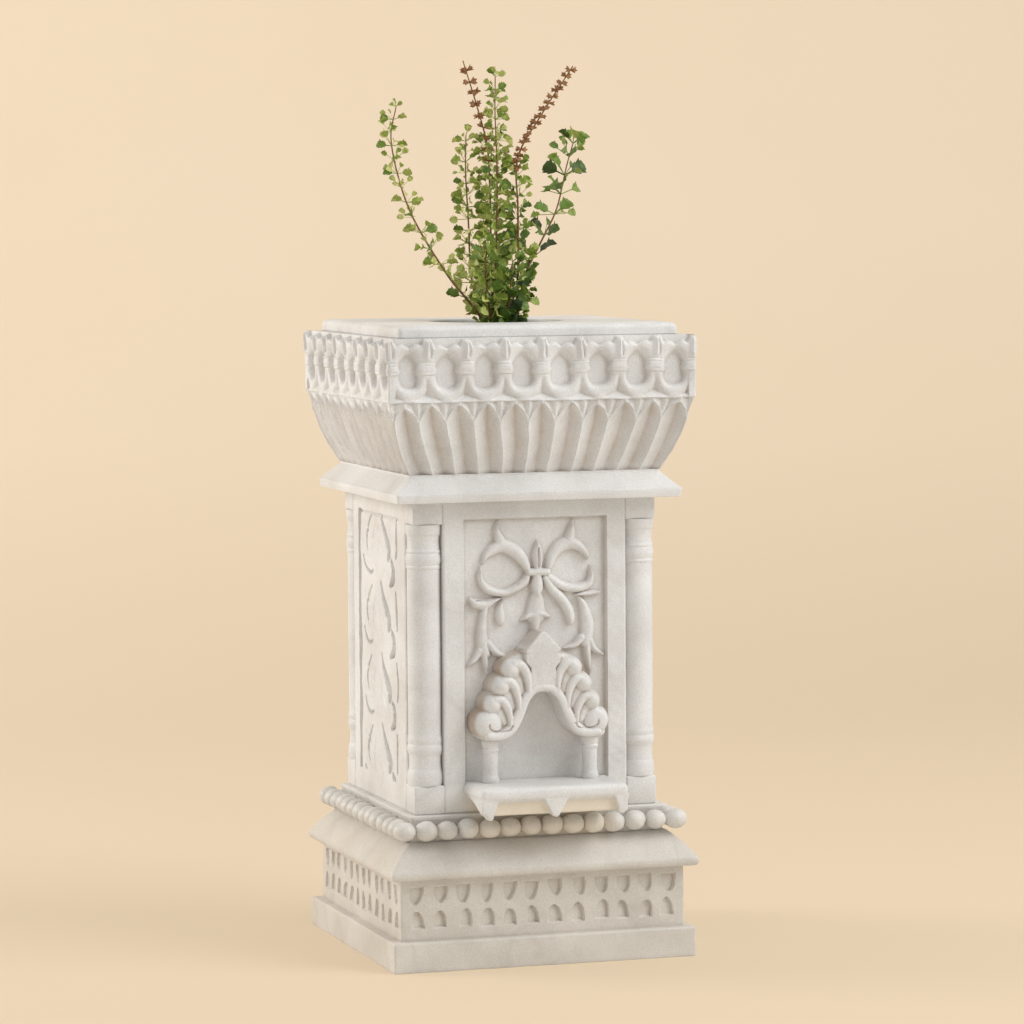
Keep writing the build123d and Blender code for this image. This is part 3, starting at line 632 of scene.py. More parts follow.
def stroke(across, level, points, rise, foot=0.45, crown=1.7, soft=1.4):
    """Height of one raised stroke over the whole surface."""
    line = curve_through(points) if len(points) > 2 else np.array(points, float)
    margin = line[:, 2].max() + 1
    near = (across > line[:, 0].min() - margin) & (across < line[:, 0].max() + margin)
    near &= (level > line[:, 1].min() - margin) & (level < line[:, 1].max() + margin)
    x, z = across[near], level[near]
    inside = np.full(x.shape, -1e3)
    share = np.ones(x.shape)
    for (ax, az, aw), (bx, bz, bw) in zip(line, line[1:]):
        length = max((bx - ax) ** 2 + (bz - az) ** 2, 1e-9)
        t = np.clip(((x - ax) * (bx - ax) + (z - az) * (bz - az)) / length, 0, 1)
        width = np.maximum(aw + t * (bw - aw), 0.05)
        distance = np.hypot(x - ax - t * (bx - ax), z - az - t * (bz - az))
        closer = width - distance > inside
        inside[closer] = (width - distance)[closer]
        share[closer] = (distance / width)[closer]
    back_height = foot * smoothstep(inside / soft) + (1 - foot) * (1 - np.clip(share, 0, 1) ** crown)
    height = np.zeros(across.shape)
    height[near] = rise * np.where(inside > 0, back_height, 0)
    return height


# %% Hollows
def blurred(height, cells):
    """A box blur, for finding what lies lower than its surroundings."""
    for axis in (0, 1):
        first, last = (np.repeat(np.take(height, [end], axis), cells, axis) for end in (0, -1))
        total = np.cumsum(np.concatenate([first, height, last], axis), axis=axis)
        size = height.shape[axis]
        high = np.take(total, range(2 * cells, 2 * cells + size), axis)
        low = np.take(total, range(0, size), axis)
        height = (high - low) / (2 * cells)
    return height


def hollowness(height, cells=4, depth=3.0):
    """How far a point lies below its surroundings, from 0 to 1."""
    return np.clip((blurred(height, cells) - height) / depth, 0, 1)


# %% Outlines
def smooth_line(points, per_span=8):
    """Smooth line through (x, z) points."""
    return curve_through([(x, z, 0) for x, z in points], per_span)[:, :2]


def distance_to(line, x, z):
    """Distance from each point to a polyline, and the nearest place on it."""
    best = np.full(x.shape, 1e9)
    near_x, near_z = x.copy(), z.copy()
    for (ax, az), (bx, bz) in zip(line, line[1:]):
        length = (bx - ax) ** 2 + (bz - az) ** 2
        if length < 1e-9:
            continue
        t = np.clip(((x - ax) * (bx - ax) + (z - az) * (bz - az)) / length, 0, 1)
        px, pz = ax + t * (bx - ax), az + t * (bz - az)
        d = np.hypot(x - px, z - pz)
        closer = d < best
        best[closer], near_x[closer], near_z[closer] = d[closer], px[closer], pz[closer]
    return best, near_x, near_z


def within(line, x, z):
    """Whether each point lies inside a closed outline."""
    inside = np.zeros(x.shape, bool)
    for (ax, az), (bx, bz) in zip(line, np.roll(line, -1, axis=0)):
        crosses = (az > z) != (bz > z)
        with np.errstate(divide="ignore", invalid="ignore"):
            side = x < (bx - ax) * (z - az) / (bz - az) + ax
        inside ^= crosses & side
    return inside


def inside_by(outline, x, z):
    """How far inside a closed outline each point lies, below zero outside it."""
    outline = np.array(outline, float)
    distance = distance_to(np.vstack([outline, outline[:1]]), x, z)[0]
    return np.where(within(outline, x, z), distance, -distance)


far_apart = 370.0  # mm between the sides' places in the waves, so that no two sides are alike


def waves_over(across, level, side, wavelength):
    """Unevenness over one carved side, as a grid of the same shape."""
    points = np.stack([across.ravel(), level.ravel(), np.full(across.size, far_apart * (side + 1))], axis=1)
    return unevenness(points, wavelength).reshape(across.shape)


# %% [markdown]
# ## The dado and its gouges
# Two rows of thumb gouges run round the dado. Each is one push of a round chisel: a flat stop
# at one end, a scooped wall and a rounded point at the other. Cutting them by boolean would give
# the same hole a hundred times. As depths taken from the wall, each one's width, lean and depth
# can be drawn from a seeded generator, and no two are the same.

# %% Dado
dado_half, dado_low, dado_top = reach("base_dado")
gouge_columns = 12
gouge_margin = 17.0
upper_gouge = dado_top - 7.0
lower_gouge = dado_low + 11.0
gouge_places = np.linspace(-dado_half + gouge_margin, dado_half - gouge_margin, gouge_columns)
gouge_wall = 1.3  # mm over which its wall falls
floor_tilt = 0.24  # share of the depth by which its floor leans


def gouge(across, level, centre, flat_end, point, width, length, lean, depth):
    """One thumb gouge; point is +1 or -1, the way its narrow end points."""
    along = (level - flat_end) * point / length
    x = across - centre - lean * along * length
    half = np.where((along > 0) & (along < 1), width / 2 * np.sqrt(np.clip(1 - along**2.6, 0, 1)), 0.01)
    edge = np.minimum(half - np.abs(x), along * length)
    floor = depth * (1 - floor_tilt + floor_tilt * np.clip(x / half, -1, 1))
    return np.where((along > 0) & (along < 1) & (edge > 0), floor * smoothstep(edge / gouge_wall), 0)


def dado_relief(across, level, side):
    """Both rows of gouges on one side, and how much stain and painted shade they get."""
    hand = np.random.default_rng(side + 3)
    height = np.zeros_like(across)
    for flat_end, point in ((upper_gouge, -1), (lower_gouge, 1)):
        for centre in gouge_places:
            height -= gouge(
                across, level, centre + hand.uniform(-1.4, 1.4), flat_end + hand.uniform(-1, 1), point,
                hand.uniform(12, 15), hand.uniform(15.5, 18.5), hand.uniform(-0.16, 0.16), hand.uniform(3.9, 4.8),
            )
    dirt_at_foot = smoothstep((4 - level + dado_low) / 5)
    # the gouges' hollows get stain and painted shade, the foot gets dirt
    return height, 0.3 * hollowness(height, 4, 3.5) + 0.3 * dirt_at_foot


dado_rows = run("square", [(dado_half - hidden_reach, dado_low)])
dado_rows += run("carved", levels(dado_half, dado_low, dado_top, 60))
dado_rows += run("square", [(dado_half - hidden_reach, dado_top)])
marble_piece(wrapped_course("base_dado_marble", dado_rows, 285, dado_relief, rough=0.3), "base_dado")

# %% [markdown]
# ## The bowl of petals
# The bowl swells from its foot to its rim and is cut into hollow petals that fan outward. Each
# petal is a V-shaped trough with a crisp valley, closed above by a pointed arch. Where two
# arches part, a small wedge stands between them on sunk ground. One petal could be modelled and
# copied, but no two are as wide, because they spread with the wall. So the pattern is worked out
# in shares of the half width at each level.

# %% The bowl's wall and its petals
bowl_rim_half, bowl_low, bowl_top = reach("petal_bowl")
bowl_foot_half = 126.5
wall_shares = np.array([0, 0.05, 0.13, 0.26, 0.46, 0.64, 0.8, 0.97, 1.0])
wall_reaches = np.array([bowl_foot_half, 128.5, 131.5, 136.3, 142.0, 146.0, 149.2, 152.5, 152.5])
petal_count = 11
corner_margin = 14.0  # mm from the rim's corner to the middle of the last petal
petal_depth = 8.0
fork_level = bowl_low + 46.0  # where two petals begin to part
arch_peak = bowl_low + 67.0
parting = 23.0  # mm over which the wedge between them reaches its full width
valley_shift = 0.16  # of a petal's half width, by which its valley lies off its middle
sunk_ground, wedge_rise = 3.4, 3.6
arris_rise, arris_width = 0.7, 0.9  # the thin ridge left along a petal's edge
left_side = 3  # the left face; its troughs get more painted shade, as its lamp lights them flat


# %% Petal relief
def bowl_relief(across, level, side):
    """Troughs, arches and wedges on one side, and how much stain and painted shade they get."""
    half = np.interp((level - bowl_low) / (bowl_top - bowl_low), wall_shares, wall_reaches)
    pitch = 2 * (half - corner_margin * half / bowl_rim_half) / (petal_count - 1)
    last = petal_count // 2
    place = across / pitch + 0.035 * waves_over(across, level, side, 60)
    uneven = 1.5 * waves_over(across, level * 0.1, side + 4, 42)
    from_petal = place - np.clip(np.round(place), -last, last)
    offset = np.abs(from_petal)

    closing = np.clip((level - fork_level + uneven) / (arch_peak - fork_level), 0, 1)
    petal = 0.5 * (1 - closing**2.0) ** 0.8
    lowest = valley_shift * petal
    shallow = (1 - valley_shift) / (1 + valley_shift)
    valley = np.where(from_petal > lowest, from_petal - lowest, (lowest - from_petal) * shallow)
    valley = np.clip(valley / np.maximum(petal - lowest, 0.01), 0, 1)
    depth = petal_depth * np.sqrt(petal / 0.5) * (0.75 + 0.25 * smoothstep((level - bowl_low) / 16))
    trough = -depth * (1 - valley**1.1)

    opening = np.clip((level - fork_level - 2 + uneven) / parting, 0, 1)
    arm = 0.5 - 0.2 * opening**0.75
    slope = np.clip((offset - petal) / np.maximum(arm - petal, 0.01), 0, 1)
    wedge = np.clip((offset - arm) / np.maximum(0.5 - arm, 0.01), 0, 1) ** 0.9 * (arm < 0.49)
    outside = -sunk_ground * opening**0.6 * slope**1.2 + wedge_rise * opening * wedge

    edge = (petal - offset) * pitch
    height = np.where(edge > 0, trough, outside) + arris_rise * np.exp(-(edge / arris_width) ** 2)
    # stain and painted shade in the hollows, dirt at the foot, and painted shade down each trough
    stain_and_shade = 0.8 * hollowness(height, 4, 5.0) + 0.2 * smoothstep((bowl_low + 5 - level) / 5)
    trough_shade = 0.7 if side == left_side else 0.32
    stain_and_shade += np.where(edge > 0, -trough_shade * trough / petal_depth, 0)
    return height - arris_rise, np.clip(stain_and_shade, 0, 1)


# %% Wrap the bowl
pocket_floor = bowl_low + 25.0
drain_radius = 8.0
wall = [
    (np.interp(share, wall_shares, wall_reaches), bowl_low + share * (bowl_top - bowl_low))
    for share in np.linspace(0, 1, 68)
]
bowl_rows = run("round", [(drain_radius, bowl_low)]) + run("square", [(bowl_foot_half - 8, bowl_low)])
bowl_rows += run("carved", wall) + run("square", [(bowl_rim_half - 12, bowl_top)])
bowl_rows += run("round", [(mouth_radius, bowl_top), (mouth_radius, pocket_floor), (drain_radius, pocket_floor)])
marble_piece(
    wrapped_course("petal_bowl_marble", bowl_rows, 290, bowl_relief, bore=True, rough=0.2), "petal_bowl")

# %% [markdown]
# ## The looped frieze
# A chain of upright loops runs round the frieze. Each loop is a thick ring about a sunk oval,
# heavier at its foot like a swag. Where two loops meet, a double band ties them and a
# crown-shaped bud with a split ridge stands on the tie. The ground is cut back above the buds
# and in the corners below the ties. A ring could be modelled once and copied, but the loops run
# into each other without a seam, so all is cut from one wall by its distance to three outlines.

# %% Bays and outlines, in mm from a bay's middle and over the foot
frieze_half, frieze_low, frieze_top = reach("loop_frieze")
bay_count = 8
bay_margin = 21.0
first_bay = -frieze_half + bay_margin
bay_pitch = 2 * (frieze_half - bay_margin) / (bay_count - 1)


def both_ways(points):
    """A right-hand line from top to bottom, closed by its mirror image."""
    line = np.array(points, float)
    return np.vstack([line, line[::-1] * [-1, 1]])


hollow_outline = both_ways(np.vstack([
    smooth_line([(0, 49.0), (4.4, 47.6), (8.6, 43), (10.9, 37), (11, 31.5), (10.2, 28.6)], 4),
    smooth_line([(10.3, 28.3), (12, 25), (12.3, 20.5), (10.4, 15.6), (6.5, 12.4), (0, 11.2)], 4)]))
top_ground = both_ways([
    (0, 64), (20, 64), (17.6, 60.2), (15.2, 56.4), (12.4, 52.6), (9, 53.9), (6, 53.6), (2.6, 51.8), (0, 50.6)])
spandrel = both_ways([(0, 20.5), (2.4, 14.5), (5.6, 9), (11.8, 2.8)])
hollow_depth, ground_depth, spandrel_depth = 5.2, 4.6, 4.5
plain_level = 58.6  # the ground is cut back all along above this
near_corner = 8.0  # mm from the corner where no spandrel fits
ridge_rise, ridge_half = 2.6, 4.2
ridge_split = [(1.0, 57.5, 0.7), (2.2, 51, 1.9), (3.0, 46, 1.9), (3.0, 41, 0.8)]
band_low, band_high, band_half = 25.0, 37.5, 9.5
band_lines = (25.4, 28.4, 34.6, 37.2)


# %% Frieze relief
def frieze_relief(across, level, side):
    """Loops, ties, buds and cut-back ground on one side, and how much stain and painted shade they get."""
    sway = 0.75 * waves_over(across, level, side, 48) + 0.3 * waves_over(across, level, side + 5, 17)
    lift = 0.7 * waves_over(across, level, side + 9, 44)
    bay = np.clip(np.round((across - first_bay) / bay_pitch), 0, bay_count - 1)
    place = across - first_bay - bay * bay_pitch + sway
    tie = np.round((across - first_bay) / bay_pitch + 0.5) - 0.5
    from_tie = across - first_bay - tie * bay_pitch + sway
    rise = level - frieze_low + lift
    to_corner = frieze_half - np.abs(across)

    hollow = inside_by(hollow_outline, place, rise)
    ground = np.maximum(inside_by(top_ground, place, rise), rise - plain_level)
    corner = np.where(to_corner < near_corner, -9.0, inside_by(spandrel, from_tie, rise))
    hollow_wall = 2.4 + 4.2 * smoothstep((rise - 34) / 10)
    height = -hollow_depth * smoothstep(hollow / hollow_wall)
    height -= ground_depth * smoothstep(ground / 1.5)
    height -= np.clip(0.9 * corner, 0, spandrel_depth)
    for edge, round_over in ((hollow, 2.6), (ground, 1.0), (corner, 2.6)):
        height -= round_over * np.exp(np.minimum(edge, 0) / round_over)

    ridge = np.clip(1 - np.abs(from_tie + 0.4) / ridge_half, 0, 1) * smoothstep((rise - 38) / 4)
    height += ridge_rise * ridge * smoothstep(0.3 - ground / 2)
    band = smoothstep((rise - band_low) / 1.2) * smoothstep((band_high - rise) / 1.2) * (hollow < 0)
    height += 0.9 * band * (np.abs(from_tie) < band_half)
    on_band = (np.abs(from_tie) < band_half - 1) * (hollow < -0.5)
    for line_rise in band_lines:
        height -= 0.6 * np.clip(1 - np.abs(rise - line_rise) / 0.9, 0, 1) * on_band
    height -= stroke(from_tie, rise, ridge_split, 2.1, 0.2, 1.2)
    height -= 1.2 * smoothstep((0.9 - rise) / 0.9)

    at_corner = -1.2 * smoothstep((level - frieze_low - 58.2) / 1.5)
    height = at_corner + (height - at_corner) * smoothstep(to_corner / 3.0)
    height = np.maximum(height, -0.8 * np.maximum(to_corner, corner_radius))  # the two sides must not cross
    # stain and painted shade in the hollows
    return height - 0.3, 0.6 * hollowness(height, 4, 5.0)


# %% Wrap the frieze
frieze_rows = run("round", [(mouth_radius, frieze_low)]) + run("square", [(frieze_half - 14, frieze_low)])
frieze_rows += run("carved", levels(frieze_half, frieze_low, frieze_top, 62))
frieze_rows += run("square", [(frieze_half - 10, frieze_top)]) + run("round", [(mouth_radius, frieze_top)])
marble_piece(
    wrapped_course("loop_frieze_marble", frieze_rows, 300, frieze_relief, bore=True, rough=0.2), "loop_frieze")

# %% [markdown]
# ## The beaded course
# A string of beads is carved out of one roll. An array modifier would repeat one bead exactly.
# Here one bead is a sphere, a little flattened, and it is copied along the four sides with each
# copy turned, stretched and dented a little differently, as a carver's beads are.

# %% The core behind the beads
bead_half, bead_low, bead_top = reach("bead_course")
core_half, fillet_half = 127.0, 128.0
fillet_height, fillet_edge = 4.5, 1.5
core_inside = core_half - hidden_reach
core_rows = run("square", [
    (core_inside, bead_low), (core_half, bead_low), (core_half, bead_top - fillet_height - 1),
    (fillet_half - 0.5, bead_top - fillet_height)])
core_rows += run("square", arc(fillet_half - fillet_edge, bead_top - fillet_edge, fillet_edge, 0, 90, 4))
core_rows += run("square", [(core_inside, bead_top)])
core = wrapped_course("bead_core", core_rows, 90, rough=0.25)

# %% Beads
beads_per_side = 14
bead_radius, bead_squash = 11.0, 0.86
bead_line = bead_half - 10.3  # the beads' middles stand this far from the axis
bead_level = bead_top - 13.3
bead_dent = 0.022  # of the distance from its middle
bpy.ops.mesh.primitive_uv_sphere_add(segments=28, ring_count=16, radius=bead_radius * mm)
bead = bpy.context.object
move_points(bead, read_points(bead) * np.array([1, 1, bead_squash]))
smooth(bead, 180)
steps_along = np.linspace(-bead_line, bead_line, beads_per_side)
bead_places = [(x, side * bead_line) for x in steps_along for side in (-1, 1)]
bead_places += [(side * bead_line, y) for y in steps_along[1:-1] for side in (-1, 1)]
beads = []
for x, y in bead_places:
    spread = draw.uniform(0.96, 1.05, 3)
    shift = draw.uniform(-0.5, 0.5, 3)
    turn = Matrix.Rotation(draw.uniform(0, 6.28), 4, "Z") @ Matrix.Diagonal((*spread, 1))
    place = Matrix.Translation((x + shift[0], y + shift[1], bead_level + shift[2]))
    beads.append(copied(bead, "bead", place @ turn))
for one in beads:
    points = read_points(one)
    points += (points - points.mean(axis=0)) * (bead_dent * unevenness(points, 16))[:, None]
    move_points(one, points)
bpy.data.objects.remove(bead)
bead_course = joined("bead_course_marble", [core] + beads)
points = read_points(bead_course)
under_shelf = smoothstep((80 - np.abs(points[:, 0])) / 20) * (points[:, 1] < -core_half + 5)
paint(bead_course, "warmth", 0.28 * under_shelf)  # painted warm bounce light in the shade under the shelf
print(len(beads), "beads")
marble_piece(bead_course, "bead_course")

# %% [markdown]
# ## Panels in low relief
# Four panels close the shaft. Each has a flat frame and a sunk field with the ornament standing
# in it. A frame could be inset and pushed in by hand, but the ornament needs a fine grid anyway.
# So one grid faces the viewer, frame and strokes are heights on it, and its rim is then extruded
# back to make a slab of real thickness.

# %% Panel sizes
panel_low, panel_high = corners("panel_front")
shaft_half = -panel_low[1]
panel_half = panel_high[0]
tongue = 6.0  # mm at the head and the foot that stay hidden in the courses
panel_bottom, panel_top = reach("panel_left")[1] + tongue, reach("panel_left")[2] - tongue
panel_depth = 22.0
frame_side, frame_foot, frame_head = 20.5, 23.5, 18.0
field_half = panel_half - frame_side
field_shift = 1.0  # the front field was cut a little right of centre
field_bottom, field_top = panel_bottom + frame_foot, panel_top - frame_head
field_wall = 1.3  # mm over which the field's edge falls


# %% Panel maker
def carved_panel(name, cell, ornament, depth, turn):
    """A slab with a frame round a sunk field; turn is its quarter turns from the front."""
    columns, rows = int(2 * panel_half / cell), int((panel_top - panel_bottom) / cell)
    piece = piece_from_grid(name, columns, rows)
    x, z = np.meshgrid(np.linspace(-panel_half, panel_half, columns + 1),
                       np.linspace(panel_bottom, panel_top, rows + 1))
    shift = field_shift if turn == 0 else 0.0
    edge = np.minimum(field_half - np.abs(x - shift), np.minimum(z - field_bottom, field_top - z))
    sunk = smoothstep(edge / field_wall + 0.5)
    rim = np.minimum(panel_half - np.abs(x), np.minimum(z - panel_bottom, panel_top - z))
    height = (ornament(x, z) - depth) * sunk - 1.2 * (1 - smoothstep(rim / 1.6)) - 0.2
    # stain and painted shade in the field's hollows
    paint(piece, "crevice", 0.55 * hollowness(height, int(5 / cell), 4.0))
    under_shelf = smoothstep((panel_bottom + 24 - z) / 4) * smoothstep((80 - np.abs(x - shift)) / 16)
    paint(piece, "warmth", (0.35 if turn == 0 else 0.0) * under_shelf)  # painted warm bounce light in the shade under the shelf, on the front panel only

    flat = np.stack([x.ravel(), np.full(x.size, -shaft_half), z.ravel()], axis=1)
    sway = 0.22 * unevenness(flat + 40 * turn, 45) + 0.12 * unevenness(flat, 14)
    flat[:, 1] -= height.ravel() + sway
    c, s = cos(turn * pi / 2), sin(turn * pi / 2)
    move_points(piece, flat @ np.array([[c, s, 0], [-s, c, 0], [0, 0, 1]]))

    def thicken():
        select_rims()
        push_out((-s * panel_depth, c * panel_depth, 0))
        bpy.ops.mesh.edge_face_add()
        bpy.ops.mesh.select_mode(type="VERT")

    edit(piece, thicken, face_outward)
    smooth(piece)
    return piece


# %% [markdown]
# ## The front panel's flower
# A ribbon tied in two open loops hangs from the panel's head, with a bud standing on the knot
# and a bell flower hanging from it. Leafy scrolls fall to each side and split into three tips.
# Both halves are drawn, because a carver's two sides are never quite alike and a mirror shows.

# %% Front ornament, in mm across and above the floor, with half widths
ornament_shift = -2.2
flower_strokes = [
    [(-49, 385, 0.8), (-47, 391.5, 3.0), (-40, 398, 5.6), (-29, 402, 7.0), (-19, 398, 7.2), (-11, 391, 6.6),
     (-6, 383, 5.0), (-4, 377, 3.0)],
    [(-34, 426, 0.6), (-35.5, 419, 2.6), (-33.5, 412, 4.6), (-31, 405, 6.5)],
    [(-52, 381, 0.8), (-52, 372, 2.8), (-48, 363.5, 4.2), (-40, 358.5, 4.4), (-28, 356.5, 4.2), (-16, 360.5, 4.4),
     (-8, 366, 4.8), (-5, 371, 4.0)],
    [(-62, 351, 2.0), (-56, 347, 5.0), (-47, 346, 5.6), (-39, 349, 3.2), (-30.5, 352, 0.6)],
    [(-47, 345, 3.5), (-49.5, 333, 4.6), (-50.5, 320, 5.6), (-50, 308, 6.4), (-47, 298, 5.0)],
    [(-53, 302, 4.6), (-58, 293.5, 3.4), (-65, 287.3, 0.7)],
    [(-49, 300, 4.4), (-47.5, 290, 3.2), (-46.5, 280, 0.6)],
    [(-44, 308, 4.4), (-37.5, 300, 4.0), (-30, 296.5, 2.6), (-22, 295, 0.6)],
    [(-30, 350, 1.2), (-32.5, 342, 3.8), (-32, 334, 5.2), (-31.5, 329, 4.0)],
    [(56.5, 386.5, 0.8), (54.5, 392.5, 3.2), (46, 400.5, 5.6), (35.5, 402.5, 7.0), (26.5, 398, 6.6), (20.5, 390, 5.6),
     (17, 380.5, 3.8)],
    [(41, 425, 0.6), (40.5, 418, 2.8), (39.5, 412, 5.0), (38, 405, 6.2)],
    [(59, 380, 0.8), (60, 371, 2.8), (57, 362.5, 4.6), (47, 359, 4.8), (36, 360, 4.6), (26, 364, 5.0),
     (17, 370.5, 4.6)],
    [(44, 352, 1.2), (53, 353.5, 2.8), (62, 353.8, 2.6), (70, 354.5, 0.6)],
    [(13, 370, 3.6), (20, 359, 5.2), (29, 350, 5.6), (36.5, 339, 5.6), (38.8, 330, 4.8), (39, 326, 3.0)],
    [(46.5, 351, 1.2), (51.5, 343, 4.4), (55, 331, 6.4), (56, 318, 7.4), (54, 306, 6.0)],
    [(50, 311, 4.4), (43, 304, 3.6), (32.3, 301.2, 0.7)],
    [(55, 306, 4.8), (56, 290, 3.6), (58, 274, 0.6)],
    [(58, 308, 4.4), (63, 299, 3.6), (73, 293.5, 0.7)],
    [(4.6, 355, 5.0), (4.4, 348, 8.0), (3.9, 341, 9.4), (3.6, 335, 10.6)],
    [(-11, 329.5, 1.0), (-4, 333.5, 3.8), (3.6, 335.5, 4.6), (12, 334.5, 3.6), (18.4, 331.5, 1.0)],
    [(3.8, 334, 6.0), (3.4, 327, 5.4), (2.8, 320, 3.6)],
]
bud_strokes = [
    ([(6.2, 378, 3.8), (6.2, 385, 5.2), (6.1, 391, 5.7), (6.0, 398, 4.2), (6.0, 406, 0.7)], 6.6),
    ([(5, 372, 5.0), (5, 362, 6.6), (5, 353, 3.2)], 8.0),
    ([(-3, 375.6, 4.2), (15, 375.6, 4.2)], 8.8),
]
ornament_grooves = [
    [(-59, 350.4, 0.5), (-50, 349.6, 1.2), (-39, 350.6, 0.5)],
    [(6.4, 380, 1.0), (6.6, 388, 2.0), (6.3, 399, 0.6)],
]


# %% Front panel
def front_ornament(x, z):
    """The ribbon and its leaves, with the bud, the bell and the knot standing higher."""
    x = x - ornament_shift
    height = np.zeros_like(x)
    for points in flower_strokes:
        height = np.maximum(height, stroke(x, z, points, 7.0, 0.42, 2.0, 1.5))
    for points, rise in bud_strokes:
        height = np.maximum(height, stroke(x, z, points, rise, 0.5, 2.0, 1.3))
    for points in ornament_grooves:
        height -= stroke(x, z, points, 3.4, 0.1, 1.2)
    return height


front_cell, front_depth = 0.85, 6.2
marble_piece(carved_panel("panel_front_marble", front_cell, front_ornament, front_depth, 0), "panel_front")

# %% [markdown]
# ## The side and back panels' vine
# The other three panels share one pattern: the flat leaves of a vine that climbs in equal
# repeats. The leaves are level with the frame, and only the gaps between them are dug away, deep
# and curved towards one edge and hair-thin towards the other. So here the cuts are drawn, not the
# leaves, with fine lines for the leaves' veins.

# %% Vine cuts, in mm across and over each repeat's foot, with half widths
vine_repeat, vine_foot, vine_count = 69.5, 150.0, 4
vine_bases = [vine_foot + vine_repeat * i for i in range(vine_count)]
side_cell, side_depth = 1.1, 7.5
cut_widening = 1.35
deep_cuts = [
    [(7, 72, 1.2), (15, 60, 2.8), (26, 48, 4.4), (37, 36, 5.2), (34, 27, 2.6)],
    [(45, 26, 2.0), (53, 18, 4.2), (52, 8, 4.6), (41, 1, 1.4)],
    [(62, 66, 1.2), (64.5, 48, 2.4), (63.5, 30, 1.6)],
    [(-26, 66, 0.8), (-36, 56, 1.5), (-43, 42, 1.7), (-38, 31, 0.8)],
    [(-52, 24, 0.8), (-44, 14, 1.5), (-31, 9, 1.6), (-20, 12, 0.8)],
]
fine_cuts = [
    [(2, 46, 0.5), (10, 34, 1.5), (22, 22, 1.6), (30, 10, 0.5)],
    [(-14, 56, 0.5), (-20, 40, 1.6), (-16, 24, 1.4), (-4, 12, 0.5)],
    [(-6, 36, 0.5), (-28, 44, 1.5), (-50, 60, 0.5)],
    [(-24, 24, 0.5), (-40, 26, 1.4), (-55, 40, 0.5)],
]
back_strip = -62.5  # the ground is dug away all along beyond this


# %% Vine panels
def vine_ornament(x, z):
    """Flat leaves at the level of the frame, with the ground between them dug away."""
    x = x + 1.2 * waves_over(x, z, 1, 60)
    cut = np.zeros_like(x)
    for base in vine_bases:
        for points in deep_cuts:
            placed = [(px, base + pz, cut_widening * width) for px, pz, width in points]
            cut = np.maximum(cut, stroke(x, z, placed, side_depth, 0.55, 2.0, 3.0))
        for points in fine_cuts:
            placed = [(px, base + pz, width) for px, pz, width in points]
            cut = np.maximum(cut, stroke(x, z, placed, 1.3, 0.1, 1.4))
    strip = back_strip + 1.6 * np.sin(2 * pi * z / vine_repeat) - x
    cut = np.maximum(cut, side_depth * smoothstep(strip / 2.2))
    top_line = np.clip(1 - np.abs(z - field_top + 2) / 1.8, 0, 1)
    return side_depth - np.maximum(cut, 2.0 * top_line)


for name, turn in (("panel_right", 1), ("panel_back", 2), ("panel_left", 3)):
    marble_piece(carved_panel(name + "_marble", side_cell, vine_ornament, side_depth, turn), name)

# %% [markdown]
# ## Turned corner posts
# Each corner holds a slender turned column between two square blocks. A stack of cylinders and
# tori would show its joints. So the profile is drawn once as a line of points and spun round its
# axis, the way a lathe works. The blocks are bevelled cubes, and a web behind the column closes
# the corner.

# %% Lathe and block helpers
def turned(name, profile, x, y, steps=40):
    """Spin a profile of (radius, height) pairs in mm about an upright axis."""
    line = [(x + radius, y, height) for radius, height in profile]
    piece = from_points(name, line, edges=[(i, i + 1) for i in range(len(line) - 1)])

    def spin():
        bpy.ops.mesh.spin(steps=steps, angle=2 * pi, center=(x * mm, y * mm, 0), axis=(0, 0, 1))

    edit(piece, spin, weld_points, face_outward)
    smooth(piece, 45)
    return piece


def block(name, low, high, edge):
    """A box between two corners in mm with every arris softened."""
    low, high = Vector(low), Vector(high)
    bpy.ops.mesh.primitive_cube_add(size=1)
    piece = bpy.context.object
    piece.name = name
    move_points(piece, read_points(piece) * mm * np.array(high - low) + np.array((low + high) / 2))
    modify(piece, "BEVEL", width=edge * mm, segments=3)
    smooth(piece)
    return piece


def moulded(level, *groups, per_span=5):
    """Smooth mouldings, each through its own (radius, height over a level) points."""
    profile = []
    for points in groups:
        curve = curve_through([(radius, level + height, 0) for radius, height in points], per_span)
        profile += [(max(radius, 0.0), height) for radius, height, _ in curve]
    return profile


# %% Column profile
post_low, post_high = corners("corner_post_front_left")
half_post = (post_high[0] - post_low[0]) / 2
post_axis = shaft_half - half_post
column_foot, column_head = panel_bottom + 27.5, panel_top - 22.0
drawn = [(0.0, column_foot)] + moulded(
    column_foot,
    [(13.2, 0), (14.8, 4), (14.6, 10), (12.6, 14.5)],
    [(12.0, 15), (10.9, 21), (11.2, 28), (12.8, 31)],
    [(13.4, 31.5), (14.9, 35), (13.6, 39)],
    [(12.9, 39.5), (14.2, 43.5), (12.9, 47.5)],
)
shaft_head = column_head - column_foot
drawn += moulded(
    column_foot, [(12.2, 48.5), (12.7, 110), (12.4, shaft_head - 45), (12.1, shaft_head - 43)])
drawn += moulded(
    column_head,
    [(12.9, -42.5), (14.0, -40.5), (12.9, -38.5)],
    [(13.5, -38), (15.2, -33), (13.5, -28)],
    [(12.9, -27.5), (14.0, -25.5), (12.6, -23.5)],
    [(12.2, -23), (11.3, -16), (12.4, -10)],
    [(13.6, -9.5), (14.9, -6), (15.0, -0.5), (14.6, 0)],
) + [(0.0, column_head)]
shaft_radius, drawn_radius, flatter = 16.0, 12.4, 0.5  # mm, mm, and how much of each moulding stays
column_profile = [
    (shaft_radius + flatter * (radius - drawn_radius) if radius else 0.0, height) for radius, height in drawn]
print("column:", len(column_profile), "profile points")

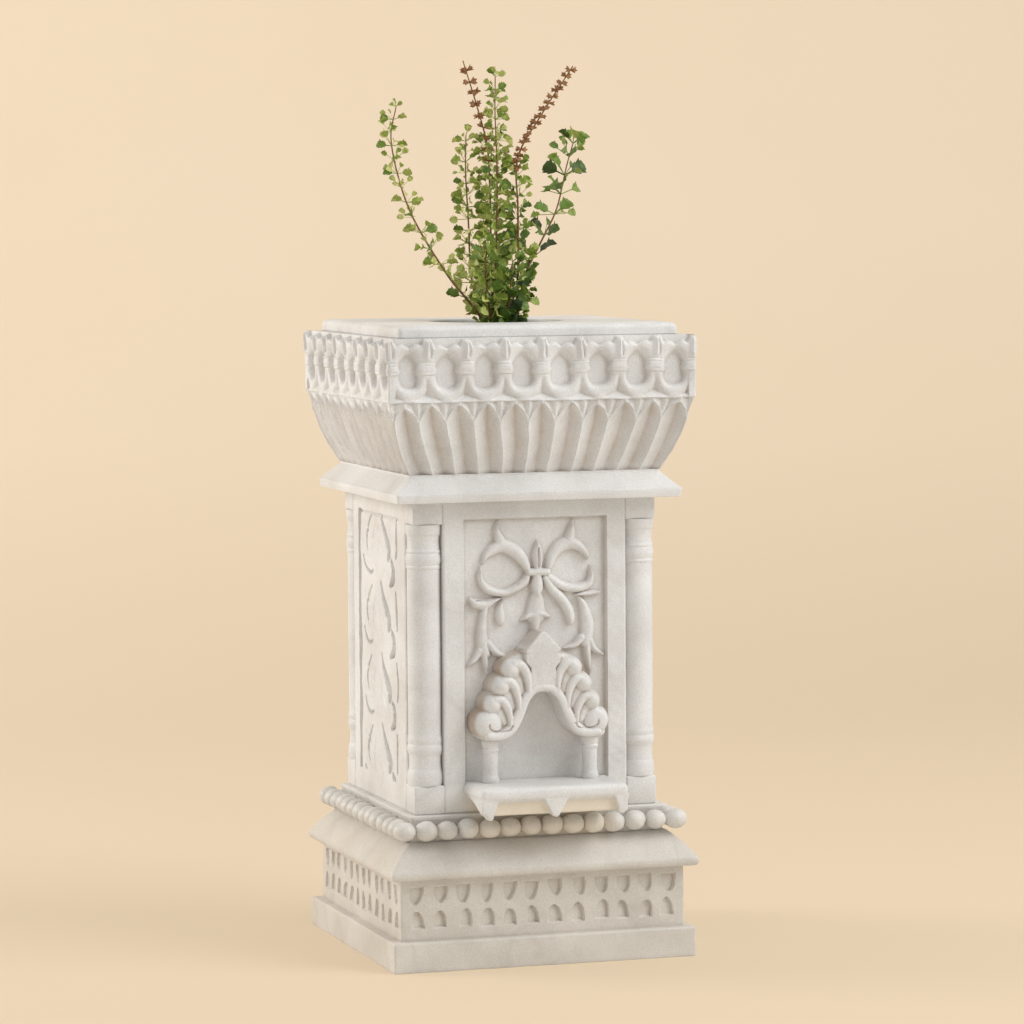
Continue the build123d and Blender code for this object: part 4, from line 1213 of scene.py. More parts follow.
# %% Corner posts
foot_block = block("foot_block", (-half_post, -half_post, panel_bottom), (half_post, half_post, column_foot), 1.6)
head_block = block("head_block", (-half_post, -half_post, column_head), (half_post, half_post, panel_top), 1.6)
web = block("web", (0, 0, column_foot - 1), (half_post, half_post, column_head + 1), 0.8)
post = joined("post", [turned("column", column_profile, 0, 0), foot_block, head_block, web])
post_places = {
    "corner_post_front_left": (-1, -1, 0),
    "corner_post_front_right": (1, -1, 90),
    "corner_post_back_right": (1, 1, 180),
    "corner_post_back_left": (-1, 1, 270),
}
for name, (x, y, degrees) in post_places.items():
    place = Matrix.Translation((x * post_axis, y * post_axis, 0)) @ Matrix.Rotation(radians(degrees), 4, "Z")
    marble_piece(copied(post, name + "_marble", place), name)
bpy.data.objects.remove(post)

# %% [markdown]
# ## The lamp niche
# A small shelf juts out for the lamp. Three tongues hang from its front with a thin apron behind
# them, its ends sweep up to the shaft, and two turned balusters stand on it. Boolean unions would
# leave hard inner corners. So the shelf is put together from blocks and remeshed as one skin,
# which blends them the way one piece of carved stone does.

# %% Tongues and ends
shelf_low, shelf_high = corners("niche_shelf")
shelf_half, shelf_top, shelf_front = shelf_high[0], shelf_high[2], shelf_low[1]
shelf_under = shelf_top - 13.0
tongue_front = shelf_front + 1.2  # set back from the slab's nose


def pendant(name, x, root, tip, drop, depth):
    """A tongue that hangs under the shelf's front, its sides curving in to a round tip."""
    line = [(0.5, 3.0), (0.5, 0.0), (0.43, -0.2), (0.32, -0.45), (0.24, -0.7)]
    sides = [(px * root, shelf_under + pz * (drop if pz < 0 else 1)) for px, pz in line]
    sides += [(tip / 2 * cos(a), shelf_under - drop + tip / 2 - tip / 2 * sin(a)) for a in np.linspace(0.15, pi / 2, 5)]
    front = [(x + px, tongue_front, pz) for px, pz in sides] + [(x - px, tongue_front, pz) for px, pz in sides[-2::-1]]
    piece = from_points(name, front, faces=[list(range(len(front)))])
    edit(piece, lambda: push_out((0, depth, 0)), face_outward)
    return piece


def end_fin(side, drop, length, thickness):
    """The wall under one end of the slab, deepest at the front and swept up to the shaft."""
    outer = side * (shelf_half - 0.8)
    inner = outer - side * thickness
    fin = block("fin", (min(outer, inner), tongue_front, shelf_under - drop),
                (max(outer, inner), shelf_front + length, shelf_under + 2), 1.2)
    modify(fin, "SUBSURF", subdivision_type="SIMPLE", levels=3, render_levels=3)
    points = read_points(fin)
    along = np.clip((points[:, 1] - shelf_front - 5) / (length - 8), 0, 1)
    lowest = shelf_under - drop * (1 - along) ** 1.7
    points[:, 2] = np.maximum(points[:, 2], lowest)
    move_points(fin, points)
    return fin


# %% Shelf
apron_front = shelf_front + 6.5
apron_drop = 13.6
slab = block("slab", (-shelf_half, shelf_front, shelf_under), (shelf_half, -shaft_half + 1, shelf_top), 5.2)
tail = block("tail", (-field_half + 0.4, -shaft_half - 3, field_bottom + 0.3),
             (field_half - 0.4, -shaft_half + 5.5, shelf_top), 0.8)
apron = block("apron", (-shelf_half + 4, apron_front, shelf_under - apron_drop),
              (shelf_half - 4, apron_front + 6, shelf_under + 2), 1.4)
parts = [slab, tail, apron, pendant("middle", 1, 23, 9, 16.5, 9)]
parts += [pendant("left", -shelf_half + 9.5, 16, 7, 17.5, 8), end_fin(-1, 12, 50, 5)]
parts += [pendant("right", shelf_half - 7, 14, 9, 16.5, 9), end_fin(1, 14, 50, 7)]
shelf = joined("niche_shelf_marble", parts)
modify(shelf, "REMESH", mode="VOXEL", voxel_size=0.9 * mm)
modify(shelf, "SMOOTH", iterations=6)
points = read_points(shelf)
points += 0.12 * unevenness(points, 22)[:, None] * np.array([1, 1, 0.4])
move_points(shelf, points)
smooth(shelf, 60)
points = read_points(shelf)
on_apron = smoothstep((shelf_under - 0.5 - points[:, 2]) / 2) * (points[:, 1] > apron_front - 1.2)
between = smoothstep((shelf_half - 9 - np.abs(points[:, 0])) / 2)
paint(shelf, "warmth", 0.5 * on_apron * between)  # painted warm bounce light on the shaded apron
marble_piece(shelf, "niche_shelf")

# %% Balusters
baluster_low, baluster_high = corners("niche_balusters")
baluster_x = baluster_high[0] - 8.5
baluster_y = (baluster_low[1] + baluster_high[1]) / 2
base, head = baluster_low[2], baluster_high[2]
baluster_profile = [(0.0, base)] + moulded(
    base,
    [(8.2, 0), (8.6, 2.5), (7.9, 6)],
    [(7.5, 6.5), (6.9, 12), (7.3, 22), (7.0, 29)],
    [(7.3, 29.5), (8.2, 31.5), (7.4, 33.5)],
    [(7.6, 34), (8.5, 37), (8.6, head - base)],
) + [(0.0, head)]
balusters = joined("niche_balusters_marble", [
    turned("baluster", baluster_profile, side * baluster_x, baluster_y) for side in (-1, 1)])
marble_piece(balusters, "niche_balusters")

# %% [markdown]
# ## The ogee arch
# The arch is the finest cut on the piece. A moulded rib follows the opening and rolls into a
# volute at each foot, three curled leaves overlap up each shoulder, and a plain block crowns it.
# Built from separate curves and spheres it would show seams that carved stone doesn't have. So
# one height is drawn over a fine grid, the grid is trimmed to the outline with its rim pulled
# onto the line, and the rim is extruded back to the panel.

# %% Arch outline, in mm across and over the foot
arch_low, arch_high = corners("niche_arch")
arch_bottom, arch_front = arch_low[2], -arch_low[1]
lobe_points = [
    [(2.5, 104), (19.5, 85)],
    [(19.5, 84), (27, 81.5), (35, 78), (41, 71), (41, 64)],
    [(41, 64.5), (47, 61), (51, 54), (50.5, 47)],
    [(50.5, 47.5), (56, 43.5), (59, 37), (58.5, 30)],
    [(58.5, 30), (65, 26), (68, 17), (66, 8), (60, 1.5), (52, 0)],
]
opening_points = [
    [(44, 0), (35, 2.5), (29, 7.5), (24.5, 14), (21.5, 21)],
    [(21.5, 21), (18.3, 29), (15, 37)],
    [(15, 37), (11.5, 42), (6, 45.3), (0, 46)],
]
outer_edge = np.vstack([[(0, 104)]] + [smooth_line(p) for p in lobe_points])
inner_edge = np.vstack([smooth_line(p) for p in opening_points])
half_outline = np.vstack([outer_edge, inner_edge])
outline = np.vstack([half_outline, half_outline[::-1] * [-1, 1]]) + [0, arch_bottom]


# %% Rib, leaves and volutes, in mm across and over the foot, with half widths
rib = [
    (0, 50.2, 4.9), (8, 49, 5.0), (14.5, 44, 5.2), (19.2, 37, 5.4), (22.8, 28, 5.7),
    (26.6, 20.5, 6.0), (32, 12, 6.0), (39, 6.8, 5.6), (47, 5.0, 5.0), (55, 5.2, 4.4),
]
leaf_balls = [(31.5, 68.6, 10.2), (41.3, 53.0, 10.0), (50.0, 35.5, 9.4)]
leaf_bodies = [
    [(21, 46, 4.0), (25, 58, 6.5), (31, 67, 9.0)],
    [(30, 32, 4.0), (35, 43, 6.5), (41, 52, 9.0)],
    [(38, 18, 4.0), (43, 27, 6.0), (49, 35, 8.5)],
]
leaf_caps = [
    [(14.8, 45, 2.8), (14.6, 55, 4.4), (17.0, 65, 5.6), (22.5, 72.0, 6.0), (29, 73.0, 5.4)],
    [(24.8, 31, 2.6), (25.0, 40, 4.0), (27.6, 50, 5.2), (32.8, 56.8, 5.6), (39, 57.6, 5.0)],
    [(33.6, 15, 2.4), (33.4, 23, 3.6), (35.8, 32, 4.8), (41, 39.0, 5.2), (47.6, 40.0, 4.6)],
]
volute_disc = [(54.2, 16.6, 13.4), (54.4, 16.8, 13.4)]
volute_hook = [(31, 15.4, 0.5), (35, 10.6, 1.0), (43, 9.6, 1.2), (50.6, 10.4, 1.3), (54.2, 13.2, 1.3), (54.8, 17, 0.7)]
block_level, free_level = 50, 84  # mm over the foot, where the crowning block starts and where it stands free


# %% Arch relief
def up_from(points):
    """Points over the arch's foot, as points above the floor."""
    return [(x, arch_bottom + z, width) for x, z, width in points]


def arch_relief(x, z, from_outside):
    """Height of the arch's face over its base plane; the left half mirrors the right."""
    x = np.abs(x)
    height = np.zeros_like(x)
    for points in leaf_bodies:
        height = np.maximum(height, stroke(x, z, up_from(points), 2.4, 0.2, 2.0, 3.0))
    for cx, cz, radius in leaf_balls:
        ball = up_from([(cx, cz, radius), (cx + 0.2, cz, radius)])
        height = np.maximum(height, stroke(x, z, ball, 7.2, 0.15, 2.0, 2.5))
    for points in leaf_caps:
        height = np.maximum(height, stroke(x, z, up_from(points), 6.6, 0.3, 2.2, 1.8))
    crown_half = 13.6 + 5 * smoothstep((z - arch_bottom - 68) / 8)
    crown = smoothstep((crown_half - x) / 1.8) * smoothstep((z - arch_bottom - block_level) / 2)
    height = np.maximum(height, 5.2 * crown)
    height = np.maximum(height, stroke(x, z, up_from(volute_disc), 6.0, 0.3, 2.6, 2.2))
    moulding = stroke(x, z, up_from(rib), 6.4, 0.4, 2.6, 1.6)
    height = np.maximum(height, moulding)
    height -= stroke(x, z, up_from(volute_hook), 2.6, 0.1, 1.3)
    fall = np.where(z - arch_bottom > free_level, 2.0, np.where(moulding > 0, 3.0, 7.5))
    rounded = fall * (1 - np.sqrt(np.clip(1 - (1 - np.clip(from_outside / fall, 0, 1)) ** 2, 0, 1)))
    return height - rounded


# %% Arch grid, trimmed to the outline
arch_cell = 0.8
grid_half, grid_under, grid_over = 69.0, 1.0, 105.0  # mm from the middle and the foot, a little past the arch
columns, rows = int(2 * grid_half / arch_cell), int((grid_under + grid_over) / arch_cell)
arch = piece_from_grid("niche_arch_marble", columns, rows)
grid_x, grid_z = np.meshgrid(np.linspace(-grid_half, grid_half, columns + 1),
                             np.linspace(arch_bottom - grid_under, arch_bottom + grid_over, rows + 1))
grid_x, grid_z = grid_x.ravel(), grid_z.ravel()
quads = np.empty(len(arch.data.polygons) * 4, int)
arch.data.polygons.foreach_get("vertices", quads)
quads = quads.reshape(-1, 4)
kept_quads = within(outline, grid_x[quads].mean(axis=1), grid_z[quads].mean(axis=1))
kept_corner, cut_corner = np.zeros(len(grid_x), bool), np.zeros(len(grid_x), bool)
kept_corner[quads[kept_quads]] = True
cut_corner[quads[~kept_quads]] = True
on_rim = kept_corner & cut_corner
_, near_x, near_z = distance_to(np.vstack([outline, outline[:1]]), grid_x, grid_z)
grid_x = np.where(on_rim, near_x, grid_x)
grid_z = np.where(on_rim, near_z, grid_z)
print("arch:", int(kept_quads.sum()), "quads inside the outline")

# %% Arch heights, stain and painted shade
base_plane = arch_front - 4.4
half_line = outer_edge[outer_edge[:, 1] > 6]
outer_line = np.vstack([half_line[::-1] * [-1, 1], half_line]) + [0, arch_bottom]
to_outer, _, _ = distance_to(outer_line, grid_x, grid_z)
height = arch_relief(grid_x, grid_z, to_outer)
move_points(arch, np.stack([grid_x, -base_plane - height, grid_z], axis=1))
# stain and painted shade in the arch's hollows
paint(arch, "crevice", 0.7 * hollowness(height.reshape(rows + 1, columns + 1), 5, 3.0))


# %% Arch body
def trim():
    """Delete the quads outside the outline."""
    bpy.ops.mesh.select_all(action="DESELECT")
    bpy.ops.object.mode_set(mode="OBJECT")
    arch.data.polygons.foreach_set("select", ~kept_quads)
    bpy.ops.object.mode_set(mode="EDIT")
    bpy.ops.mesh.select_mode(type="FACE")
    bpy.ops.mesh.delete(type="FACE")


def thicken():
    """Give the face its depth, with the last step hidden in the panel."""
    select_rims()
    for depth in (6, 6, 20):
        push_out((0, depth, 0))
    bpy.ops.mesh.edge_face_add()
    bpy.ops.mesh.select_mode(type="VERT")


edit(arch, trim, thicken, face_outward)
smooth(arch, 40)
marble_piece(arch, "niche_arch")

# %% [markdown]
# ## Pot and soil
# The basil grows in a thin plastic pot that drops into the round mouth, so the plant can be
# lifted out. Only its dark rim and the crumbly compost show from above. Both are turned like the
# posts. A bump alone would leave the soil's edge a perfect circle, so its crumbs are real heights
# of two or three millimetres.

# %% Plastic, compost and steel
def simple_finish(name, low_colour, high_colour, grain, rough, bump_height, strength=0.5):
    """A finish whose colour wanders between two tones, with bumps of the same grain, in metres."""
    finish, shader = material(name)
    coordinates = node(finish, "TexCoord").outputs["Object"]
    noise = node(finish, "TexNoise", {"Scale": 1 / grain, "Detail": 5.0, "Roughness": 0.65}, Vector=coordinates)
    tones = node(finish, "ValToRGB", {"stops": [(0.3, low_colour), (0.7, high_colour)]}, Fac=noise.outputs["Fac"])
    shader.inputs["Roughness"].default_value = rough
    bump = node(finish, "Bump", {"Strength": strength, "Distance": bump_height}, Height=noise.outputs["Fac"])
    return wired(finish, shader, tones.outputs[0], bump)


# Moulded plastic is nearly black and evenly dull, so the pot reads as a shadow round the soil.
pot_plastic = simple_finish("moulded_polypropylene", "#1d1c1b", "#2a2826", 4 * mm, 0.5, 0.1 * mm)
# Damp compost is matt, with brown crumbs between dark gaps.
compost = simple_finish("damp_compost", "#2a1d13", "#4a3524", 3 * mm, 0.9, 1.2 * mm, 1.0)
# Brushed steel has a tight bright shine on a cool grey.
brushed_steel = simple_finish("brushed_steel", "#8d9094", "#a6a9ad", 2 * mm, 0.35, 0.05 * mm)
brushed_steel.node_tree.nodes["Principled BSDF"].inputs["Metallic"].default_value = 1.0
for name in ("course_dowels", "niche_pins"):
    coated(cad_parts[name], brushed_steel)

# %% Pot
pot_low, pot_high = corners("grow_pot")
pot_radius, pot_foot, pot_head = pot_high[0], pot_low[2], pot_high[2]
pot_wall = 2.5
pot_profile = [
    (0.0, pot_foot), (pot_radius - 3, pot_foot), (pot_radius - 1.6, pot_foot + 1.5),
    (pot_radius - 1.2, pot_head - 12), (pot_radius, pot_head - 11.4), (pot_radius, pot_head - 0.8),
    (pot_radius - 0.8, pot_head), (pot_radius - 1.8, pot_head), (pot_radius - pot_wall, pot_head - 0.8),
    (pot_radius - pot_wall - 1, pot_foot + 4), (0.0, pot_foot + 3),
]
pot = turned("grow_pot_plastic", pot_profile, 0, 0, steps=96)
finished(pot, pot_plastic, "potted_plant", "pot_plastic", "grow_pot")

# %% Soil
soil_low, soil_high = corners("soil")
soil_radius = soil_high[0] - 1.2
soil_foot, soil_top = soil_low[2] + 1, soil_high[2]
soil_level = soil_top - 1  # the stems start here, and crumbs rise and sink from here
ring_spacing = 1.3
soil_profile = [(0.0, soil_foot), (soil_radius, soil_foot), (soil_radius, soil_top - 3)]
soil_profile += [(radius, soil_level) for radius in np.arange(soil_radius - 0.5, 0.4, -ring_spacing)]
soil = turned("soil_compost", soil_profile + [(0.0, soil_level)], 0, 0, steps=150)
points = read_points(soil)
crumbs = 1.0 * unevenness(points, 16) + 0.9 * unevenness(points, 6) + 0.6 * unevenness(points, 3.2)
points[:, 2] += np.where(points[:, 2] > soil_top - 2, np.clip(crumbs, -2.2, 2.2), 0)
move_points(soil, points)
finished(soil, compost, "potted_plant", "potting_soil", "soil")

# %% [markdown]
# ## Holy basil
# Holy basil has thin stems that brown with age, toothed leaves in crossed pairs, and brown flower
# spikes. A particle system would scatter leaves without regard to the joints they grow from. So
# the stems follow given routes, and one leaf, modelled with a folded midrib and a toothed
# edge and given a thin body, is copied along them: a big pair at each joint, with a tuft of
# small leaves in its armpits.

# %% Plant materials
def leaf_green():
    """Leaf blade: yellow-green new growth to deep green old leaves, with a soft waxy sheen."""
    finish, shader = material("basil_leaf_blade")
    shade = node(finish, "Attribute", {"attribute_name": "shade"})
    ages = node(finish, "ValToRGB", {"stops": [(0.0, "#33481c"), (0.3, "#62822c"), (0.6, "#95a841"), (1.0, "#cdcd78")]},
                Fac=shade.outputs["Fac"])
    coordinates = node(finish, "TexCoord").outputs["Object"]
    mottle = node(finish, "TexNoise", {"Scale": 1 / (3 * mm), "Detail": 3.0}, Vector=coordinates)
    tone = node(finish, "ValToRGB", {"stops": [(0.3, "#d2d8c8"), (0.7, "#ffffff")]}, Fac=mottle.outputs["Fac"])
    mottled = node(finish, "Mix", {**multiplied, 0: 1.0}, _6=ages.outputs[0], _7=tone.outputs[0])
    shader.inputs["Roughness"].default_value = 0.5
    bump = node(finish, "Bump", {"Strength": 0.5, "Distance": 0.5 * mm}, Height=mottle.outputs["Fac"])
    return wired(finish, shader, mottled.outputs[2], bump)


basil_leaf = leaf_green()
# Stem bark is reddish brown with paler streaks, and only faintly shiny.
basil_stem = simple_finish("basil_stem_bark", "#6a3f2b", "#8a6a42", 6 * mm, 0.6, 0.2 * mm)
# Dried calyxes are papery: matt, light brown at the lips and dark inside.
basil_flower = simple_finish("dry_basil_calyx", "#7a4d2e", "#a87c4c", 4 * mm, 0.7, 0.3 * mm)

# %% Stem routes, in mm: across, away and above the soil
leafy_stems = {
    "main": [(0, 0, 0), (0, 0, 66), (2, 0, 131), (2.5, 0, 189), (1, 0, 232), (1.5, 0, 268)],
    "left": [
        (-7, -3, 0), (-17, -6, 33), (-52, -14, 74), (-87, -22, 126),
        (-104, -26, 166), (-113, -28, 208), (-108, -29, 238),
    ],
    "inner_left": [(-5, 5, 0), (-10, 10, 32), (-18, 20, 70), (-20, 24, 131), (-22, 25, 175), (-21, 26, 212)],
    "right": [(8, 4, 0), (14, 6, 36), (35, 12, 76), (54, 18, 108), (71, 22, 139), (82, 24, 180), (89, 24, 203)],
    "low_left": [(-3, -8, 0), (-14, -18, 58), (-19, -24, 108)],
    "low_right": [(5, -8, 0), (8, -20, 50), (10, -26, 88)],
}
flower_stems = {
    "left_spike": [
        (0, 9, 0), (3, 22, 60), (4, 27, 120), (3, 26, 165),
        (0, 24, 202), (-12, 18, 240), (-29, 8, 284),
    ],
    "right_spike": [
        (11, -3, 0), (20, -6, 50), (21, -9, 90), (20, -12, 140),
        (20, -13, 189), (43, -18, 231), (73, -26, 278),
    ],
}
routes = {**leafy_stems, **flower_stems}
stem_root, stem_tip = 1.4, 0.55  # mm, radius at the soil and at the tip


# %% Stems
def stem_curve(route, per_span=8):
    """A smooth stem in mm above the ground, with its radius at every point."""
    path = curve_through([(x, y, soil_level + rise) for x, y, rise in route], per_span)
    share = (path[:, 2] - path[0, 2]) / (path[-1, 2] - path[0, 2])
    return path, stem_root + share * (stem_tip - stem_root)


def tube(name, path, radii):
    """A smooth tube along points, made as a bevelled curve and turned into a mesh."""
    curve = bpy.data.curves.new(name, "CURVE")
    curve.dimensions = "3D"
    curve.bevel_depth = mm
    curve.bevel_resolution = 2
    curve.use_fill_caps = True
    line = curve.splines.new("POLY")
    line.points.add(len(path) - 1)
    for point, place, radius in zip(line.points, path, radii):
        point.co = (*[c * mm for c in place], 1)
        point.radius = radius
    piece = bpy.data.objects.new(name, curve)
    scene.collection.objects.link(piece)
    select_only(piece)
    bpy.ops.object.convert(target="MESH")
    return bpy.context.object


stems = joined("basil_stems", [tube(name, *stem_curve(route)) for name, route in routes.items()])
edit(stems, weld_points, face_outward)
smooth(stems, 60)
finished(stems, basil_stem, "potted_plant", "basil_stem", "plant_stems")

# %% One leaf, in units of its own length
leaf_rows = [0.0, 0.14, 0.32, 0.46, 0.62, 0.74, 0.88, 1.0]
leaf_halves = [0.04, 0.26, 0.46, 0.36, 0.54, 0.36, 0.36, 0.03]  # half widths, in and out for the teeth
leaf_stalk, shoot_stalk = 0.55, 1.5
leaf_body = 0.025  # as thick as a real blade at that size


def leaf_blade(stalk):
    """A lobed, folded blade one unit long on its stalk, starting along +X and facing +Z."""
    piece = piece_from_grid("leaf", len(leaf_rows), 2)
    t = np.array([-stalk] + leaf_rows)
    half = np.array([0.04] + leaf_halves)
    side = np.array([-1.0, 0.0, 1.0])
    x = np.repeat(t[None, :], 3, axis=0)
    y = side[:, None] * half[None, :]
    x = x + 0.26 * np.abs(side)[:, None] * (half > 0.4)[None, :] * half[None, :]  # teeth point forward
    fold, droop, ripple = 0.42 * np.abs(y), -0.2 * np.clip(x, 0, 1) ** 2, 0.06 * np.sin(11 * x)
    z = fold + droop + ripple * np.abs(side)[:, None] * (t >= 0)
    x = x + stalk
    move_points(piece, np.stack([x.ravel(), y.ravel(), z.ravel()], axis=1))
    modify(piece, "SOLIDIFY", thickness=leaf_body * mm, offset=0)
    edit(piece, face_outward)
    smooth(piece, 50)
    return piece


# %% A leaf in its place
def placed_leaf(template, name, root, outward, length, tilt, roll, shade):
    """A leaf growing from a point along a level direction, tilted up and rolled."""
    aim = Vector((outward[0], outward[1], 0)).normalized()
    side = Vector((0, 0, 1)).cross(aim)
    basis = Matrix((aim, side, Vector((0, 0, 1)))).transposed().to_4x4()
    turn = basis @ Matrix.Rotation(-radians(tilt), 4, "Y") @ Matrix.Rotation(radians(roll), 4, "X")
    matrix = Matrix.Translation(root) @ turn @ Matrix.Diagonal((length, length, length, 1))
    copy = copied(template, name, matrix)
    paint(copy, "shade", np.full(len(copy.data.vertices), shade))
    return copy


# %% Leaves along the stems
# first and last level, spacing, lowest and highest leaf length in mm, leaves in a tuft, how young
leafing = {
    "main": (22, 262, 13.0, 14.5, 8.5, 7, 0.5),
    "left": (36, 236, 17.0, 13.0, 8.0, 5, 0.62),
    "inner_left": (26, 212, 14.0, 13.5, 8.5, 6, 0.62),
    "right": (44, 196, 24.0, 18.0, 16.0, 4, 0.3),
    "low_left": (20, 104, 11.0, 14.0, 11.0, 6, 0.5),
    "low_right": (18, 84, 11.0, 16.0, 12.0, 5, 0.2),
    "left_spike": (30, 206, 12.0, 13.5, 8.5, 7, 0.58),
    "right_spike": (34, 186, 13.0, 13.0, 10.0, 5, 0.4),
}
tip_leaves = 5
leaf, shoot_leaf = leaf_blade(leaf_stalk), leaf_blade(shoot_stalk)
hand = np.random.default_rng(5)
leaves = []


def grow_leaf(template, root, turn, length, tilt, young):
    """One leaf with its own shade and roll."""
    a = radians(turn)
    shade = np.clip(young + hand.uniform(-0.28, 0.28), 0, 1)
    roll = hand.choice([-1, 1]) * hand.uniform(30, 85)
    leaves.append(placed_leaf(template, "leaf", root, (cos(a), sin(a)), length, tilt, roll, shade))


for name, (first, last, pitch, low_size, high_size, tuft, young) in leafing.items():
    path, _ = stem_curve(routes[name])
    rise = path[:, 2] - path[0, 2]
    turn = hand.uniform(0, 90)
    level = first
    while level < last:
        root = [np.interp(level, rise, path[:, i]) for i in range(3)]
        share = (level - first) / (last - first)
        size = (low_size + (high_size - low_size) * share) * hand.uniform(0.85, 1.15)
        for half_turn in (0, 180):
            grow_leaf(leaf, root, turn + half_turn + hand.uniform(-18, 18), size, hand.uniform(0, 40), young)
        for _ in range(tuft):
            grow_leaf(shoot_leaf, root, hand.uniform(0, 360), size * hand.uniform(0.5, 0.78), hand.uniform(-5, 60),
                      young + 0.25)
        turn += 90 + hand.uniform(-10, 10)
        level += pitch * (1 - 0.3 * share)
    if name in leafy_stems:
        for _ in range(tip_leaves):
            grow_leaf(leaf, path[-1], hand.uniform(0, 360), high_size * hand.uniform(0.6, 0.9), hand.uniform(20, 75),
                      young + 0.1)
print("leaves on the stems:", len(leaves))

# %% Old leaves at the foot
# turn in degrees, level, length with the stalk in mm, tilt in degrees
old_leaves = [(-75, 12, 30, 62), (-20, 16, 26, 38), (-50, 30, 24, 50), (200, 20, 20, 35), (150, 34, 18, 40)]
for turn, level, length, tilt in old_leaves:
    root = [np.interp(level, [0, 50], [5, 8]), np.interp(level, [0, 50], [-8, -20]), soil_top + level]
    grow_leaf(leaf, root, turn, length / (1 + leaf_stalk), tilt, 0.05)
for used in (leaf, shoot_leaf):
    bpy.data.objects.remove(used)
basil_leaves = joined("basil_leaves", leaves)
finished(basil_leaves, basil_leaf, "potted_plant", "basil_leaf", "plant_leaves")

# %% One calyx, a flared bell with a scalloped lip
bpy.ops.mesh.primitive_cone_add(vertices=8, radius1=0.04, radius2=0.33, depth=0.7, end_fill_type="NGON")
calyx = bpy.context.object
points = read_points(calyx) * mm
points = np.stack([points[:, 2] + 0.35, points[:, 0], points[:, 1]], axis=1)
mouth = points[:, 0] > 0.5
lip = np.round(np.degrees(np.arctan2(points[:, 2], points[:, 1])) / 45) % 2 == 0
points[mouth & lip] *= 1.15
points[mouth & ~lip] *= [0.85, 0.75, 0.75]
move_points(calyx, points)
edit(calyx, face_outward)

# %% Flower spikes, in mm along the stem
first_bud = {"left_spike": 186, "right_spike": 178}
bud_pitch = {"left_spike": 11.0, "right_spike": 6.4}
bud_length = {"left_spike": 9.2, "right_spike": 8.0}
buds = []
for name, route in flower_stems.items():
    path, _ = stem_curve(route)
    rise = path[:, 2] - path[0, 2]
    level = first_bud[name]
    turn = 0.0
    while level < rise[-1]:
        root = [np.interp(level, rise, path[:, i]) for i in range(3)]
        for around in (0, 70, 180, 250):
            a = radians(turn + around + hand.uniform(-20, 20))
            buds.append(placed_leaf(
                calyx, "bud", root, (cos(a), sin(a)), bud_length[name] * hand.uniform(0.8, 1.1),
                hand.uniform(-5, 40), hand.uniform(0, 90), 0.5))
        turn += 45
        level += bud_pitch[name]
bpy.data.objects.remove(calyx)
basil_flowers = joined("basil_flower_spikes", buds)
smooth(basil_flowers, 30)
finished(basil_flowers, basil_flower, "potted_plant", "basil_flower", "flower_spikes")

# %% [markdown]
# ## The sweep
# Floor and backdrop are one sheet of cream paper: flat under the planter, curving up behind it.
# Two planes would meet in a line behind the stone. The paper seen by the camera is half lit and
# half glowing with its own colour, because a backdrop that far away is lit more evenly than these
# lamps can light it. The light that it throws back on the stone comes from a paler tone.

# %% Cream paper
added = {"operation": "ADD", "use_clamp": True}
paper_cloud = 0.5  # metres, the size of the faint clouds in the paper


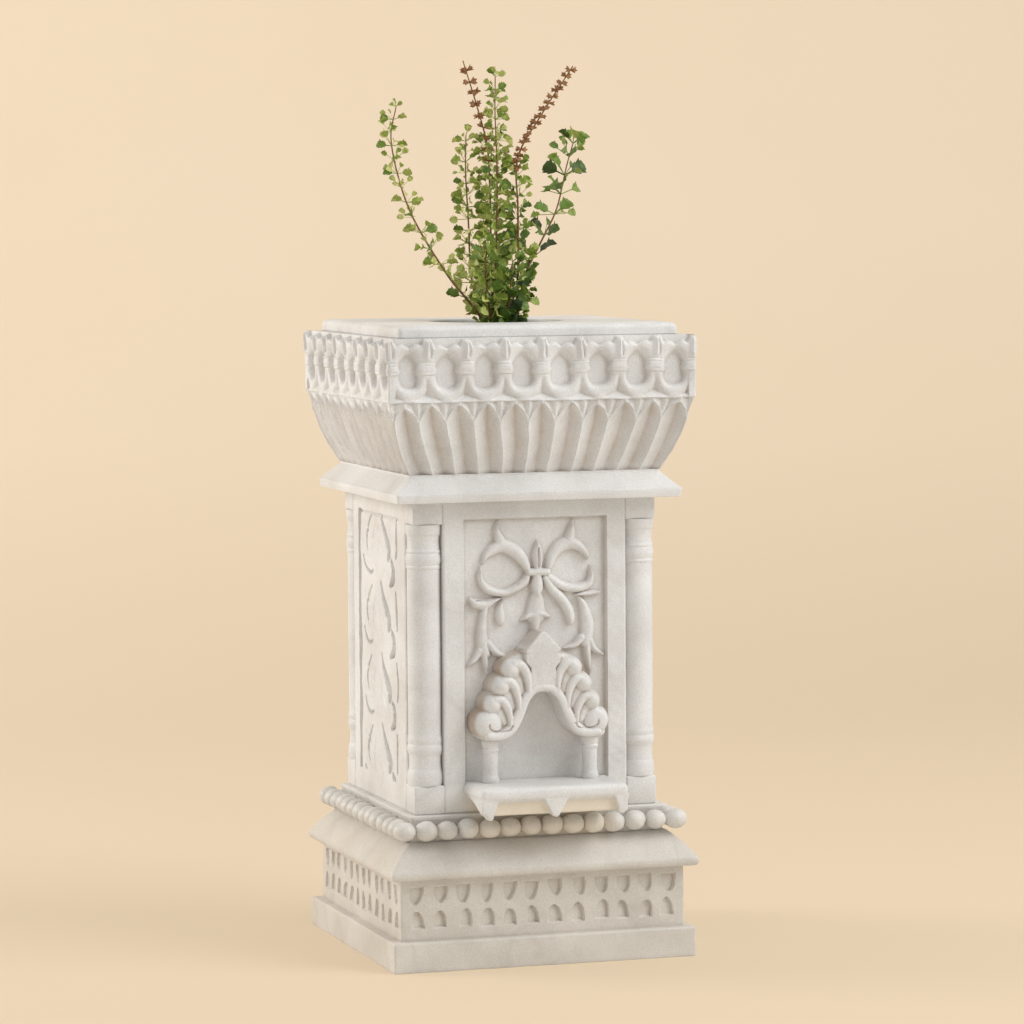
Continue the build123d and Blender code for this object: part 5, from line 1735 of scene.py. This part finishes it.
def paper_colours(finish, coordinates, level, direct):
    """A faint cloudiness, with the floor painted darker than the wall as shade; surfaces lit by the paper see its paler
    tone.
    """
    noise = node(finish, "TexNoise", {"Scale": 1 / paper_cloud, "Detail": 2.0}, Vector=coordinates)
    wall = node(finish, "ValToRGB", {"stops": [(0.3, "#f4e0c6"), (0.7, "#f7e4cc")]}, Fac=noise.outputs["Fac"])
    # painted shade: the paper's colour is darker on the floor than up the wall
    upward = node(finish, "MapRange", {"From Min": 0.0, "From Max": 0.7}, Value=level)
    seen = node(finish, "Mix", {**mixed, 6: linear("#e8d4b8")}, _0=upward.outputs[0], _7=wall.outputs[0])
    return node(finish, "Mix", {**mixed, 6: linear("#ece5da")}, _0=direct, _7=seen.outputs[2]).outputs[2]


def cream_paper():
    """Matt paper, evened out with a faint glow wherever the camera sees it; the glow is painted darker on the floor, as
    shade.
    """
    finish, shader = material("cream_backdrop_paper")
    coordinates = node(finish, "TexCoord").outputs["Object"]
    level = node(finish, "SeparateXYZ", Vector=coordinates).outputs["Z"]
    rays = node(finish, "LightPath").outputs
    seen = node(finish, "Math", added, _0=rays["Is Camera Ray"], _1=rays["Is Glossy Ray"])
    seen = node(finish, "Math", added, _0=seen.outputs[0], _1=rays["Is Transmission Ray"]).outputs[0]
    shader.inputs["Roughness"].default_value = 0.9
    colour = paper_colours(finish, coordinates, level, seen)
    finish.node_tree.links.new(colour, shader.inputs["Base Color"])
    # painted shade: the glow is darker on the floor than up the wall
    rise = node(finish, "MapRange", {"From Min": 0.02, "From Max": 0.35}, Value=level)
    lit = node(finish, "Mix", {**mixed, 6: linear("#e3cdaf"), 7: linear("#f2dcbd")}, _0=rise.outputs[0])
    glow = node(finish, "Emission", Color=lit.outputs[2])
    evenness = node(finish, "Math", {"operation": "MULTIPLY", 1: 0.5}, _0=seen)
    blend = node(finish, "MixShader", _0=evenness.outputs[0], _1=shader.outputs[0], _2=glow.outputs[0])
    output = next(n for n in finish.node_tree.nodes if n.type == "OUTPUT_MATERIAL")
    finish.node_tree.links.new(blend.outputs[0], output.inputs["Surface"])
    print(f"{finish.name}: {len(finish.node_tree.nodes)} nodes")
    return finish


# %% Sweep, in metres away from the camera and up
bend = 1.4
turned_up = [(1.6 + bend * sin(a), bend - bend * cos(a)) for a in np.linspace(0, pi / 2, 24)]
sweep_line = [(-3.0, 0.0)] + turned_up + [(3.0, 5.0)]
below_floor = 0.02  # mm, so that the paper doesn't flicker against the stone's underside
sweep = piece_from_grid("sweep", 2, len(sweep_line) - 1)
across = np.array([-6000.0, 0.0, 6000.0])
rows_out = [[(x, y / mm, z / mm - below_floor) for x in across] for y, z in sweep_line]
move_points(sweep, np.array(rows_out).reshape(-1, 3))
smooth(sweep, 90)
coated(sweep, cream_paper())
